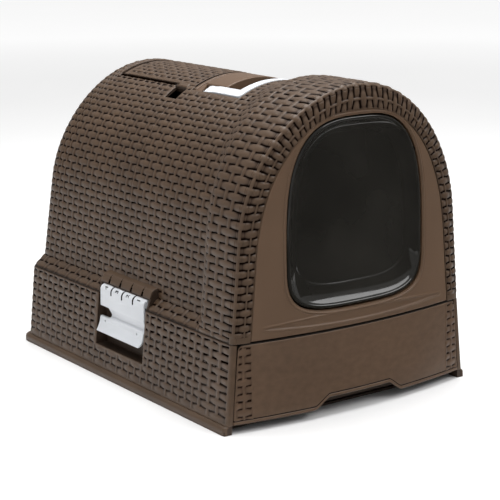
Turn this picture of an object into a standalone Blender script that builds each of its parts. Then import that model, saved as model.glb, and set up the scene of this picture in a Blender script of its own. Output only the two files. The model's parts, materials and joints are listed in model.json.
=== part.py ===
"""Hooded cat litter box: an arched hood with a swing door over a pull-out litter drawer.

Frame: metres, +Z up, origin at the bottom centre of the box, the cat door faces -Y.
Left is -X, as seen from in front of the door.
"""

import math

import bmesh
import bpy
from mathutils import Vector

# ---------------------------------------------------------------- driving dimensions
CLEAR = 0.0004            # gap between pieces that lie against each other
WALL = 0.0025             # wall of the hood and its panels
DRAFT = 0.09              # walls lean in by this much for each metre of height

# collar: the flared front of the hood
COLLAR_FOOT = 0.187       # half width of the drafted side wall, taken down to the floor
COLLAR_CROWN = 0.3965     # height of the collar's crown
SPRING = 0.230            # height where the straight sides turn into the arch
COLLAR_ROUND = 0.005      # rounding of the collar's front edge

# body of the hood behind the collar
BODY_FOOT = 0.171
BODY_CROWN = 0.384
FLARE_FRONT_SIDE = -0.175
FLARE_REAR_SIDE = -0.147
FLARE_FRONT_CREST = -0.160
FLARE_REAR_CREST = -0.100
FLARE_STEPS = 10
REAR = 0.246              # rear wall at the shoulder
REAR_LEAN = 0.095
REAR_ROUND = 0.015

# the seam between hood and base, and the sloping shoulder just above it
SEAM = 0.1075
SHOULDER_TOP = 0.121

# bowed front face
FRONT_CORNER = -0.237     # front at the side edges, at floor height
FRONT_BOW = 0.018
FRONT_HALF = 0.180
FRONT_LEAN = 0.03

# base housing
FLOOR = 0.003
BASE_WALL = 0.0032
FRONT_POST = 0.007
FOOT_HALF = 0.191
FOOT_REAR = 0.255
FOOT_TOP = 0.0085
BASE_REAR = 0.2475

# front panel and swing door
PANEL_FOOT = 0.1644
PANEL_CROWN = 0.366
PANEL_SPRING = 0.200
PANEL_POWER = 2.35
DOOR_HALF = 0.104
DOOR_TOP = 0.359
DOOR_BOTTOM = 0.133
DOOR_MIDDLE = 0.200
DOOR_GAP = 0.0018
DISH_HALF = 0.084
DISH_TOP = 0.341
DISH_BOTTOM = 0.160
DISH_MIDDLE = 0.205
DISH_DEPTH = 0.0125
DOOR_AXIS_Y = -0.236
DOOR_AXIS_Z = 0.310
DOOR_STUB = 0.002

# drawer
TRAY_HALF = 0.157
TRAY_FRONT = -0.228
TRAY_REAR = 0.226
TRAY_BOTTOM = 0.0075
TRAY_TOP = 0.096
DRAWER_BOTTOM = 0.011
DRAWER_TOP = 0.1068
NOTCH_HALF = 0.068
NOTCH_INNER = 0.048
NOTCH_TOP = 0.024

# hinge pins, the holes they turn in and the hatch's barrel
PIN_RADIUS = 0.0015
PIN_HOLE = PIN_RADIUS + 0.0003
BARREL_RADIUS = 0.0034

# side latches, hinged under a pad on the hood's shoulder
LATCH_X = 0.171
LATCH_Z = 0.112
LATCH_REAR = 0.0575
LATCH_FRONT = -0.0465
LATCH_KNUCKLE = 0.0072
LATCH_PLATE = 0.0024
LATCH_SLIT = 0.0018
LUG_LENGTH = 0.006
POCKET_FRONT = -0.051
POCKET_REAR = 0.062
POCKET_BACK = 0.167
POCKET_BOTTOM = 0.039

# roof: carry handle, its pan, the filter hatch and the finger hole
HANDLE_HALF = 0.0615
HANDLE_LEG = 0.0125
HANDLE_FRONT = -0.0895
HANDLE_BAR = 0.0145
HANDLE_AXIS_Y = -0.013
HANDLE_AXIS_Z = 0.3633
PAN_HALF = 0.063
PAN_FRONT = -0.0915
PAN_REAR = 0.004
PAN_DEPTH = 0.0125
PLATE_FRONT = -0.045
PLATE_REAR = 0.0108
LEDGE_DEPTH = 0.0052
HATCH_HALF = 0.0563
HATCH_FRONT = 0.0124
HATCH_REAR = 0.187
HATCH_AXIS_Y = 0.1855
HATCH_AXIS_Z = 0.3786
HATCH_THICK = 0.003
FILTER_HALF = 0.0508
FILTER_BOTTOM = 0.350

# colours: base colour, roughness
BROWN = ((0.105, 0.064, 0.038), 0.55)
BROWN_DARK = ((0.080, 0.050, 0.032), 0.6)
WHITE = ((0.80, 0.82, 0.85), 0.4)
SMOKE = ((0.012, 0.012, 0.012), 0.12)
STEEL = ((0.55, 0.55, 0.56), 0.3)
CHARCOAL = ((0.02, 0.02, 0.02), 0.9)


# ---------------------------------------------------------------- outlines and surfaces
def drafted(foot, z):
    """Half width of a drafted wall at height z."""
    return foot - DRAFT * z


def arch(foot, crown, spring=SPRING, power=2.0, bottom=SEAM + CLEAR, steps=28):
    """Points (x, z) of an arch from its left foot over the crown to its right foot."""
    side = [bottom, SHOULDER_TOP, (SHOULDER_TOP + spring) / 2]
    points = [(-drafted(foot, z), z) for z in side]
    for i in range(steps + 1):
        angle = math.pi * i / steps
        rise = abs(math.sin(angle)) ** (2 / power)
        reach = abs(math.cos(angle)) ** (2 / power)
        z = spring + (crown - spring) * rise
        points.append((-math.copysign(reach, math.cos(angle)) * drafted(foot, z), z))
    points += [(drafted(foot, z), z) for z in reversed(side)]
    return points


def crest_share(index, count):
    """0 at the sides of an arch and 1 at its crown, for point number index of count."""
    angle = math.pi * (index - 3) / (count - 7)
    return max(0.0, math.sin(min(max(angle, 0.0), math.pi)))


def front_y(x, z, depth=0.0):
    """The bowed, leaning front face, or a surface at a depth behind it."""
    return FRONT_CORNER + FRONT_LEAN * z - FRONT_BOW * (1 - (x / FRONT_HALF) ** 2) + depth


def rear_y(z):
    """The rear wall, upright at the shoulder and leaning forward above it."""
    return REAR - REAR_LEAN * max(0.0, z - SHOULDER_TOP)


def roof_z(x, depth=0.0):
    """Height of the hood's roof at x, or of a surface at a depth below it."""
    z = BODY_CROWN
    for _ in range(12):
        z = SPRING + (BODY_CROWN - SPRING) * math.sqrt(1 - (x / drafted(BODY_FOOT, z)) ** 2)
    return z - depth


def oval(half, top, bottom, middle, upper=3.05, lower=4.0, steps=64):
    """Closed outline (x, z) of two half superellipses that meet at height middle."""
    points = []
    for i in range(steps):
        angle = 2 * math.pi * i / steps
        c, s = math.cos(angle), math.sin(angle)
        power = upper if s > 0 else lower
        height = top - middle if s > 0 else middle - bottom
        x = half * math.copysign(abs(c) ** (2 / power), c)
        points.append((x, middle + height * math.copysign(abs(s) ** (2 / power), s)))
    return points


def door_outline(offset=0.0):
    """Outline of the swing door, grown by offset."""
    return oval(DOOR_HALF + offset, DOOR_TOP + offset, DOOR_BOTTOM - offset, DOOR_MIDDLE)


def dish_outline(offset=0.0):
    """Outline of the door's recessed middle, grown by offset."""
    return oval(DISH_HALF + offset, DISH_TOP + offset, DISH_BOTTOM - offset, DISH_MIDDLE, 3.0, 3.5)


def rounded_rectangle(half, front, rear, front_round, rear_round, steps=5):
    """Closed outline (x, y) of a rectangle with round corners, counter-clockwise from above."""
    corners = (
        (half - front_round, front + front_round, front_round, -90),
        (half - rear_round, rear - rear_round, rear_round, 0),
        (-half + rear_round, rear - rear_round, rear_round, 90),
        (-half + front_round, front + front_round, front_round, 180),
    )
    points = []
    for cx, cy, radius, start in corners:
        for i in range(steps + 1):
            angle = math.radians(start + 90 * i / steps)
            points.append((cx + radius * math.cos(angle), cy + radius * math.sin(angle)))
    return points


# ---------------------------------------------------------------- meshes and objects
def quads(bm, first, second, closed):
    """Faces between two rows of vertices."""
    count = len(first)
    for i in range(count if closed else count - 1):
        j = (i + 1) % count
        bm.faces.new((first[i], first[j], second[j], second[i]))


def tidy(bm):
    """Merge coincident points, drop flat slivers and turn every face outwards."""
    bmesh.ops.remove_doubles(bm, verts=bm.verts, dist=0.00001)
    bmesh.ops.dissolve_degenerate(bm, edges=bm.edges, dist=0.00001)
    bmesh.ops.recalc_face_normals(bm, faces=bm.faces)
    return bm


def loft(rings):
    """Closed solid through closed rings of (x, y, z); the first and last ring are capped."""
    bm = bmesh.new()
    rows = [[bm.verts.new(point) for point in ring] for ring in rings]
    for first, second in zip(rows, rows[1:]):
        quads(bm, first, second, True)
    for row, ring in ((rows[0], rings[0]), (rows[-1], rings[-1])):
        if (Vector(ring[0]) - Vector(ring[len(ring) // 2])).length > 0.00001:
            bm.faces.new(row)
    return tidy(bm)


def shell(outer, inner):
    """Closed thin wall between two stacks of open rows with equal counts."""
    bm = bmesh.new()
    faces_out = [[bm.verts.new(point) for point in row] for row in outer]
    faces_in = [[bm.verts.new(point) for point in row] for row in inner]
    for stack in (faces_out, faces_in):
        for first, second in zip(stack, stack[1:]):
            quads(bm, first, second, False)
    for end in (0, -1):
        quads(bm, [row[end] for row in faces_out], [row[end] for row in faces_in], False)
        if (outer[end][0][0] - outer[end][-1][0]) ** 2 > 0.000001:
            quads(bm, faces_out[end], faces_in[end], False)
    return tidy(bm)


def prism_y(section, y0, y1):
    """Solid of a closed (x, z) outline between two depths."""
    return loft([[(x, y, z) for x, z in section] for y in (y0, y1)])


def prism_x(section, x0, x1):
    """Solid of a closed (y, z) outline between two widths."""
    return loft([[(x, y, z) for y, z in section] for x in (x0, x1)])


def block(x0, x1, y0, y1, z0, z1):
    """Rectangular solid."""
    return prism_y([(x0, z0), (x1, z0), (x1, z1), (x0, z1)], y0, y1)


def circle(centre, radius, steps=20):
    """Closed round outline about a centre."""
    turn = 2 * math.pi / steps
    return [
        (centre[0] + radius * math.cos(turn * i), centre[1] + radius * math.sin(turn * i))
        for i in range(steps)
    ]


def span(start, end, steps):
    """Evenly spaced values from start to end."""
    return [start + (end - start) * i / steps for i in range(steps + 1)]


def bowed_slab(half, low, high, near, far, steps=24):
    """Solid between two depths behind the bowed front face."""
    rings = []
    for x in span(-half, half, steps):
        corners = ((low, near), (high, near), (high, far), (low, far))
        rings.append([(x, front_y(x, z, depth), z) for z, depth in corners])
    return loft(rings)


def roof_slab(x0, x1, y0, y1, top, bottom, steps=15):
    """Solid that follows the roof's arch between two depths below its surface."""
    rings = []
    for x in span(x0, x1, steps):
        corners = ((y0, top), (y1, top), (y1, bottom), (y0, bottom))
        rings.append([(x, y, roof_z(x, depth)) for y, depth in corners])
    return loft(rings)


def mirrored(bm):
    """Copy of a solid on the other side of the plane x = 0."""
    twin = bm.copy()
    for vert in twin.verts:
        vert.co.x = -vert.co.x
    bmesh.ops.reverse_faces(twin, faces=twin.faces)
    return twin


def together(*solids):
    """One mesh that holds several separate solids."""
    whole = bmesh.new()
    for solid in solids:
        mesh = bpy.data.meshes.new("scratch")
        solid.to_mesh(mesh)
        whole.from_mesh(mesh)
        bpy.data.meshes.remove(mesh)
    return whole


def material(name, finish):
    """Principled material from a base colour and a roughness."""
    made = bpy.data.materials.get(name)
    if made is None:
        made = bpy.data.materials.new(name)
        made.use_nodes = True
        shader = made.node_tree.nodes["Principled BSDF"]
        shader.inputs["Base Color"].default_value = (*finish[0], 1)
        shader.inputs["Roughness"].default_value = finish[1]
        shader.inputs["Metallic"].default_value = 1.0 if finish is STEEL else 0.0
    return made


def piece(name, bm, finish, origin=(0, 0, 0), smooth=35):
    """Named object from a solid, with its own material and its origin where it turns."""
    mesh = bpy.data.meshes.new(name)
    for vert in bm.verts:
        vert.co -= Vector(origin)
    bm.to_mesh(mesh)
    bm.free()
    mesh.shade_smooth()
    mesh.set_sharp_from_angle(angle=math.radians(smooth))
    made = bpy.data.objects.new(name, mesh)
    made.location = origin
    made.data.materials.append(material(name, finish))
    bpy.context.scene.collection.objects.link(made)
    return made


def hidden(bm, name):
    """Hidden tool solid, which may itself be shaped before it is used."""
    mesh = bpy.data.meshes.new(name)
    bm.to_mesh(mesh)
    bm.free()
    tool = bpy.data.objects.new(name, mesh)
    tool.hide_render = True
    tool.display_type = "WIRE"
    bpy.context.scene.collection.objects.link(tool)
    return tool


def use(target, tool, operation):
    """Join, cut or clip a piece with a hidden tool."""
    modifier = target.modifiers.new(tool.name, "BOOLEAN")
    modifier.operation = operation
    modifier.object = tool
    modifier.solver = "EXACT"


def shape(target, bm, operation, name):
    """Join, cut or clip a piece with a solid that is made into a hidden tool."""
    use(target, hidden(bm, name), operation)


# ---------------------------------------------------------------- hood
def placed(points, depth_of):
    """Rows of (x, y, z) from an outline (x, z) and a rule for y."""
    return [(x, depth_of(x, z, i), z) for i, (x, z) in enumerate(points)]


def hood_rows(inset):
    """Rows of the hood's wall from the panel opening round to the rear, inset from outside."""
    opening = arch(PANEL_FOOT, PANEL_CROWN, PANEL_SPRING, PANEL_POWER)
    count = len(opening)
    rows = [placed(opening, lambda x, z, i: front_y(x, z, inset))]
    turn = max(COLLAR_ROUND, inset)
    for angle in (0, 45, 90):
        offset = inset + (turn - inset) * (1 - math.sin(math.radians(angle)))
        depth = inset + (turn - inset) * (1 - math.cos(math.radians(angle)))
        ring = arch(COLLAR_FOOT - offset, COLLAR_CROWN - offset)
        rows.append(placed(ring, lambda x, z, i, depth=depth: front_y(x, z, depth)))
    collar = arch(COLLAR_FOOT - inset, COLLAR_CROWN - inset)
    body = shoulder(arch(BODY_FOOT - inset, BODY_CROWN - inset), inset)
    for step in span(0, 1, FLARE_STEPS):
        blend = step * step * (3 - 2 * step)
        row = []
        for i in range(count):
            share = crest_share(i, count) ** 2
            start = FLARE_FRONT_SIDE + (FLARE_FRONT_CREST - FLARE_FRONT_SIDE) * share
            end = FLARE_REAR_SIDE + (FLARE_REAR_CREST - FLARE_REAR_SIDE) * share
            x = collar[i][0] + (body[i][0] - collar[i][0]) * blend
            z = collar[i][1] + (body[i][1] - collar[i][1]) * blend
            row.append((x, start + (end - start) * step, z))
        rows.append(row)
    radius = REAR_ROUND - inset
    for angle in span(0, 90, 4):
        offset = inset + radius * (1 - math.cos(math.radians(angle)))
        back = inset + radius * (1 - math.sin(math.radians(angle)))
        ring = shoulder(arch(BODY_FOOT - offset, BODY_CROWN - offset), offset)
        rows.append(placed(ring, lambda x, z, i, back=back: rear_y(z) - back))
    low = SEAM + CLEAR
    for share in (0.6, 0.3, 0.0):
        scaled = [(x * share, low + (z - low) * share) for x, z in ring]
        rows.append(placed(scaled, lambda x, z, i: rear_y(z) - inset))
    return rows


def shoulder(points, inset):
    """Body arch with its feet spread out over the sloping shoulder."""
    foot = drafted(COLLAR_FOOT, points[0][1]) - inset * 1.4
    return [(-foot, points[0][1]), *points[1:-1], (foot, points[-1][1])]


def latch_pad():
    """Smooth pad on the left shoulder that carries the latch hinge."""
    low = SEAM + CLEAR
    edge = drafted(COLLAR_FOOT, low)
    section = [
        (-edge, low), (-0.1695, 0.128), (-0.1665, 0.131), (-0.157, 0.1335), (-0.1575, low),
    ]
    return prism_y(section, POCKET_FRONT - 0.0027, POCKET_REAR + 0.0027)


def latch_channel():
    """Round channel in the pad that the latch knuckle turns in."""
    ring = circle((-LATCH_X, LATCH_Z), LATCH_KNUCKLE + 0.0007, 28)
    return prism_y(ring, LATCH_FRONT - 0.004, LATCH_REAR + 0.004)


def latch_bore(radius, slack=0.0):
    """Round solid on the left latch axis, as the pin or the hole for it."""
    ring = circle((-LATCH_X, LATCH_Z), radius)
    return prism_y(ring, POCKET_FRONT - 0.002 - slack, POCKET_REAR + 0.002 + slack)


def locating_tongues():
    """Lips under the hood's rim that drop inside the base walls."""
    outer = drafted(COLLAR_FOOT, SEAM) - BASE_WALL - 0.0006
    inner = outer - 0.0027
    low, high = SEAM - 0.006, SEAM + 0.0022
    left = [
        block(-outer, -inner, -0.138, -0.062, low, high),
        block(-outer, -inner, 0.075, 0.225, low, high),
    ]
    return [*left, *[mirrored(solid) for solid in left]]


def hinge_lugs():
    """Two lugs behind the hatch opening that hold the hatch pin."""
    lugs = []
    for side in (-1, 1):
        x0, x1 = sorted((side * 0.018, side * 0.024))
        arc = []
        for angle in span(90, 270, 8):
            turn = math.radians(angle)
            arc.append((HATCH_AXIS_Y + BARREL_RADIUS * math.cos(turn),
                        HATCH_AXIS_Z + BARREL_RADIUS * math.sin(turn)))
        section = [*arc, (0.196, HATCH_AXIS_Z - BARREL_RADIUS), (0.196, HATCH_AXIS_Z + 0.0024),
                   (HATCH_AXIS_Y + 0.002, HATCH_AXIS_Z + 0.0024)]
        lugs.append(prism_x(section, x0, x1))
    return lugs


def handle_pin_hole(radius, x0, x1):
    """Round solid on the handle axis between two widths."""
    return prism_x(circle((HANDLE_AXIS_Y, HANDLE_AXIS_Z), radius), x0, x1)


def build_hood():
    """Arched hood: collar, roof, rear wall, shoulder, latch pads and roof openings."""
    hood = piece("hood_shell", shell(hood_rows(0.0), hood_rows(WALL)), BROWN)
    pads = latch_pad()
    pan_body = roof_slab(-PAN_HALF - WALL, PAN_HALF + WALL, PAN_FRONT - WALL, PAN_REAR + 0.002,
                         0.001, PAN_DEPTH + WALL)
    shape(hood, pan_body, "UNION", "handle_pan_body")
    nose_body = block(0.0461, PAN_HALF + WALL - 0.0003, -0.0270, 0.0012, 0.3497, 0.3628)
    shape(hood, together(nose_body, mirrored(nose_body)), "UNION", "nose_bodies")
    ledge_body = roof_slab(-0.060, 0.060, PAN_REAR - 0.004, 0.194, 0.0011, LEDGE_DEPTH + WALL)
    shape(hood, ledge_body, "UNION", "hatch_ledge_body")
    shape(hood, together(pads, mirrored(pads)), "UNION", "hood_pads")
    shape(hood, together(*locating_tongues()), "UNION", "hood_tongues")
    channel = latch_channel()
    shape(hood, together(channel, mirrored(channel)), "DIFFERENCE", "latch_channels")
    bore = latch_bore(PIN_HOLE, 0.004)
    shape(hood, together(bore, mirrored(bore)), "DIFFERENCE", "latch_bores")
    pan = roof_slab(-PAN_HALF, PAN_HALF, PAN_FRONT, PAN_REAR, -0.02, PAN_DEPTH)
    shape(hood, pan, "DIFFERENCE", "handle_pan")
    nose_room = handle_nose(0.0008)
    shape(hood, together(nose_room, mirrored(nose_room)), "DIFFERENCE", "nose_rooms")
    ledge = roof_slab(-HATCH_HALF - 0.0007, HATCH_HALF + 0.0007, HATCH_FRONT - 0.003,
                      HATCH_REAR + 0.0045, -0.02, LEDGE_DEPTH)
    shape(hood, ledge, "DIFFERENCE", "hatch_ledge")
    plate_seat = roof_slab(-PAN_HALF, PAN_HALF, PAN_REAR - 0.001, PLATE_REAR + 0.0004, -0.02, LEDGE_DEPTH)
    shape(hood, plate_seat, "DIFFERENCE", "plate_seat")
    well = block(-FILTER_HALF - 0.0007, FILTER_HALF + 0.0007, 0.017, 0.176, 0.32, 0.40)
    shape(hood, well, "DIFFERENCE", "filter_well")
    tab = roof_slab(-0.0635, -0.056, 0.0252, 0.0508, -0.02, 0.0036, 4)
    shape(hood, tab, "DIFFERENCE", "tab_notch")
    finger = together(block(-0.081, -0.063, 0.022, 0.047, 0.33, 0.40),
                      block(-0.0248, 0.0248, 0.1813, HATCH_REAR + 0.0045, 0.365, 0.40))
    shape(hood, finger, "DIFFERENCE", "roof_holes")
    shape(hood, together(*hinge_lugs()), "UNION", "hatch_lugs")
    pins = together(
        prism_x(circle((HATCH_AXIS_Y, HATCH_AXIS_Z), PIN_HOLE), -0.03, 0.03),
        handle_pin_hole(PIN_HOLE, -0.0655, -0.0395),
        handle_pin_hole(PIN_HOLE, 0.0395, 0.0655),
    )
    shape(hood, pins, "DIFFERENCE", "pin_holes")
    return hood


# ---------------------------------------------------------------- base housing
def base_ring(half, front, rear, z):
    """Plan outline of the base at one height."""
    return [(x, y, z) for x, y in rounded_rectangle(half, front, rear, 0.002, REAR_ROUND)]


def latch_pocket():
    """Solid walls round the left latch pocket, inside the base wall."""
    low, high = POCKET_BOTTOM - 0.003, SEAM - 0.0002
    section = [
        (-POCKET_BACK + WALL, low), (-POCKET_BACK + WALL, high),
        (-drafted(COLLAR_FOOT, high) + 0.001, high), (-drafted(COLLAR_FOOT, low) + 0.001, low),
    ]
    return prism_y(section, POCKET_FRONT - 0.003, POCKET_REAR + 0.003)


def build_base():
    """Base housing: foot rim, side and rear walls, floor, rails, latch pockets."""
    levels = (
        (0.0, FOOT_HALF, FOOT_REAR),
        (FOOT_TOP * 0.5, FOOT_HALF, FOOT_REAR),
        (FOOT_TOP, FOOT_HALF - 0.002, FOOT_REAR - 0.002),
        (FOOT_TOP + 0.002, drafted(COLLAR_FOOT, FOOT_TOP), BASE_REAR),
        (SEAM - 0.0002, drafted(COLLAR_FOOT, SEAM), REAR),
    )
    rings = [base_ring(half, FRONT_CORNER + FRONT_LEAN * z, rear, z) for z, half, rear in levels]
    base = piece("base_housing", loft(rings), BROWN)
    room = []
    for z, rear in ((FLOOR, BASE_REAR), (SEAM + 0.02, REAR)):
        half = drafted(COLLAR_FOOT, z) - BASE_WALL
        room.append(base_ring(half, FRONT_CORNER + 0.010, rear - BASE_WALL, z))
    shape(base, loft(room), "DIFFERENCE", "base_room")
    gate = []
    for z in (-0.01, SEAM + 0.02):
        half = drafted(COLLAR_FOOT, z) - FRONT_POST
        gate.append([(-half, -0.27, z), (half, -0.27, z), (half, -0.220, z), (-half, -0.220, z)])
    shape(base, loft(gate), "DIFFERENCE", "base_gate")
    pocket = latch_pocket()
    inside = drafted(COLLAR_FOOT, 0.088) - 0.0015
    guides = [block(0.162, inside, y, y + 0.012, 0.002, 0.088) for y in (-0.205, 0.195)]
    rails = [block(0.116, 0.122, -0.210, 0.225, 0.002, TRAY_BOTTOM - CLEAR)]
    extra = [pocket, *guides, *rails]
    shape(base, together(*extra, *[mirrored(solid) for solid in extra]), "UNION", "base_fittings")
    void = block(-0.22, -POCKET_BACK, POCKET_FRONT, POCKET_REAR, POCKET_BOTTOM, 0.13)
    shape(base, together(void, mirrored(void)), "DIFFERENCE", "latch_pockets")
    rib = block(-0.1713, -POCKET_BACK + 0.001, -0.036, 0.030, 0.079, 0.085)
    shape(base, together(rib, mirrored(rib)), "UNION", "latch_ribs")
    return base


# ---------------------------------------------------------------- front panel and door
def panel_outline(grow):
    """Outline of the smooth front panel, grown on its sides and top."""
    return arch(PANEL_FOOT + grow, PANEL_CROWN + grow, PANEL_SPRING, PANEL_POWER, SEAM + 0.001)


def build_front_panel():
    """Smooth panel in the collar with the framed door opening and the door's bearings."""
    panel = piece("front_panel", bowed_slab(0.176, 0.09, 0.38, 0.0, 0.005), BROWN)
    shape(panel, prism_y(panel_outline(-CLEAR), -0.30, -0.18), "INTERSECT", "panel_edge")
    flange = hidden(bowed_slab(0.176, 0.09, 0.38, WALL + CLEAR, 0.005), "panel_flange")
    shape(flange, prism_y(panel_outline(0.006), -0.30, -0.18), "INTERSECT", "flange_edge")
    use(panel, flange, "UNION")
    lip = hidden(bowed_slab(0.176, 0.09, 0.38, 0.001, 0.013), "door_lip")
    shape(lip, prism_y(door_outline(DOOR_GAP + 0.0022), -0.30, -0.18), "INTERSECT", "lip_edge")
    use(panel, lip, "UNION")
    bearing = block(0.0932, 0.103, DOOR_AXIS_Y - 0.0033, DOOR_AXIS_Y + 0.007,
                    DOOR_AXIS_Z - 0.007, DOOR_AXIS_Z + 0.007)
    shape(panel, together(bearing, mirrored(bearing)), "UNION", "door_bearings")
    shape(panel, prism_y(door_outline(DOOR_GAP), -0.30, -0.18), "DIFFERENCE", "door_opening")
    seat = door_bore(0.0038, 0.088, 0.1013)
    shape(panel, together(seat, mirrored(seat)), "DIFFERENCE", "bearing_seats")
    return panel


def door_bore(radius, x0, x1):
    """Round solid on the door axis between two widths."""
    return prism_x(circle((DOOR_AXIS_Y, DOOR_AXIS_Z), radius), x0, x1)


def door_ring(outline, depth, share=1.0):
    """Closed ring behind the front face, drawn in towards the middle of the door."""
    ring = []
    for x, z in outline:
        x, z = x * share, DISH_MIDDLE + 0.04 + (z - DISH_MIDDLE - 0.04) * share
        ring.append((x, front_y(x, z, depth), z))
    return ring


def build_door():
    """Dished swing door with a rolled rim and a pivot stub at each side."""
    rings = [
        door_ring(dish_outline(), DISH_DEPTH, share) for share in (0.0, 0.5)
    ]
    rings += [
        door_ring(dish_outline(-0.001), DISH_DEPTH),
        door_ring(dish_outline(0.001), DISH_DEPTH - 0.0006),
        door_ring(door_outline(-0.0032), 0.0004),
        door_ring(door_outline(-0.0015), 0.0),
        door_ring(door_outline(0.0), 0.0015),
        door_ring(door_outline(0.0), 0.0065),
        door_ring(door_outline(-0.0022), 0.0065),
        door_ring(door_outline(-0.0042), 0.0030),
        door_ring(dish_outline(0.0), DISH_DEPTH + 0.0022),
    ]
    rings += [
        door_ring(dish_outline(), DISH_DEPTH + 0.0022, share) for share in (0.5, 0.0)
    ]
    origin = (0, DOOR_AXIS_Y, DOOR_AXIS_Z)
    door = piece("door_flap", loft(rings), SMOKE, origin)
    stub = door_bore(DOOR_STUB, 0.0885, 0.0985)
    shape(door, together(stub, mirrored(stub)), "UNION", "door_stubs")
    for name, side in (("door_pivot_left", -1), ("door_pivot_right", 1)):
        bush = door_bore(0.0035, 0.0936, 0.101)
        bush = bush if side > 0 else mirrored(bush)
        made = piece(name, bush, BROWN_DARK)
        bore = door_bore(DOOR_STUB + 0.0003, 0.090, 0.0992)
        shape(made, bore if side > 0 else mirrored(bore), "DIFFERENCE", name + "_bore")
    return door


# ---------------------------------------------------------------- drawer
def build_drawer():
    """Litter tray and its bowed front with the finger notch."""
    tray_rings = []
    wall = 0.0025
    for half, front, rear, z in (
        (TRAY_HALF - 0.005, TRAY_FRONT + 0.003, TRAY_REAR - 0.005, TRAY_BOTTOM),
        (TRAY_HALF, TRAY_FRONT, TRAY_REAR, TRAY_TOP - 0.003),
        (TRAY_HALF + 0.004, TRAY_FRONT, TRAY_REAR + 0.004, TRAY_TOP - 0.003),
        (TRAY_HALF + 0.004, TRAY_FRONT, TRAY_REAR + 0.004, TRAY_TOP),
        (TRAY_HALF - wall, TRAY_FRONT + wall, TRAY_REAR - wall, TRAY_TOP),
        (TRAY_HALF - wall - 0.005, TRAY_FRONT + wall + 0.003, TRAY_REAR - wall - 0.005,
         TRAY_BOTTOM + wall),
    ):
        tray_rings.append([(x, y, z) for x, y in rounded_rectangle(half, front, rear, 0.015, 0.02)])
    piece("drawer_tray", loft(tray_rings), BROWN_DARK)
    front = piece("drawer_front", bowed_slab(0.186, 0.0, 0.12, 0.0, 0.003), BROWN)
    low, high = DRAWER_BOTTOM, DRAWER_TOP
    edge = FRONT_POST + 0.0006
    low_half, high_half = drafted(COLLAR_FOOT, low) - edge, drafted(COLLAR_FOOT, high) - edge
    right = [(NOTCH_INNER, NOTCH_TOP), (NOTCH_HALF, low), (low_half, low)]
    for angle in span(0, 90, 3):
        turn = math.radians(angle)
        right.append((high_half - 0.006 * (1 - math.cos(turn)), high - 0.006 * (1 - math.sin(turn))))
    outline = [*right, *[(-x, z) for x, z in reversed(right)]]
    shape(front, prism_y(outline, -0.30, -0.18), "INTERSECT", "drawer_edge")
    brace = hidden(bowed_slab(0.160, high - 0.0035, high - 0.001, 0.001, 0.040), "drawer_brace")
    shape(brace, block(-0.2, 0.2, -0.30, TRAY_FRONT - CLEAR, 0.0, 0.2), "INTERSECT", "brace_end")
    use(front, brace, "UNION")


# ---------------------------------------------------------------- latches
def ribbon(path, thickness):
    """Closed outline of a plate that follows a path, with half its thickness on each side."""
    sides = ([], [])
    for i, point in enumerate(path):
        before = Vector(path[max(i - 1, 0)])
        after = Vector(path[min(i + 1, len(path) - 1)])
        along = (after - before).normalized()
        across = Vector((-along.y, along.x)) * thickness / 2
        sides[0].append(tuple(Vector(point) + across))
        sides[1].append(tuple(Vector(point) - across))
    return sides[0] + sides[1][::-1]


def latch_solid():
    """Left latch plate: knuckle arc, upper plate, snap groove and flared finger lip."""
    radius = LATCH_KNUCKLE - LATCH_PLATE / 2
    path = []
    for angle in span(65, 180, 9):
        turn = math.radians(angle)
        path.append((-LATCH_X + radius * math.cos(turn), LATCH_Z + radius * math.sin(turn)))
    path += [
        (-0.1774, 0.092), (-0.1758, 0.0875), (-0.1740, 0.083), (-0.1744, 0.0795),
        (-0.1772, 0.0765), (-0.1788, 0.071), (-0.1812, 0.064), (-0.1845, 0.0577),
    ]
    return prism_y(ribbon(path, LATCH_PLATE), LATCH_FRONT, LATCH_REAR)


def on_side(bm, side):
    """Solid of the left side, mirrored where side is 1."""
    return mirrored(bm) if side > 0 else bm


def build_latches():
    """White snap latch and its hinge pin on each side."""
    for name, side in (("left", -1), ("right", 1)):
        origin = (side * LATCH_X, 0, LATCH_Z)
        latch = piece("latch_" + name, on_side(latch_solid(), side), WHITE, origin)
        knuckle = circle((-LATCH_X, LATCH_Z), LATCH_KNUCKLE - LATCH_PLATE + 0.0003)
        lugs = [
            prism_y(knuckle, LATCH_FRONT, LATCH_FRONT + LUG_LENGTH),
            prism_y(knuckle, LATCH_REAR - LUG_LENGTH, LATCH_REAR),
        ]
        shape(latch, on_side(together(*lugs), side), "UNION", "lugs_" + name)
        width = LATCH_REAR - LATCH_FRONT
        cuts = []
        for quarter in (1, 2, 3):
            y = LATCH_FRONT + width * quarter / 4
            cuts.append(block(-0.19, -0.16, y - LATCH_SLIT / 2, y + LATCH_SLIT / 2, 0.1095, 0.13))
        cuts.append(block(-0.19, -0.1685, 0.036, LATCH_REAR + 0.01, 0.077, 0.091))
        shape(latch, on_side(together(*cuts), side), "DIFFERENCE", "slits_" + name)
        hole = latch_bore(PIN_HOLE, 0.01)
        shape(latch, on_side(hole, side), "DIFFERENCE", "hole_" + name)
        piece("latch_pin_" + name, on_side(latch_bore(PIN_RADIUS), side), STEEL)


# ---------------------------------------------------------------- carry handle
def handle_path():
    """Centre line (x, y) of the U-shaped handle, from the left leg to the right leg."""
    reach = HANDLE_HALF - HANDLE_LEG / 2
    bar = HANDLE_FRONT + HANDLE_BAR / 2
    corner = 0.008
    points = [(-reach, HANDLE_AXIS_Y - 0.0004), (-reach, -0.045)]
    for angle in span(180, 270, 4):
        turn = math.radians(angle)
        points.append((-reach + corner + corner * math.cos(turn), bar + corner + corner * math.sin(turn)))
    points += [(x, bar) for x in span(-reach + corner, 0, 5)[1:]]
    return points + [(-x, y) for x, y in reversed(points[:-1])]


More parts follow.
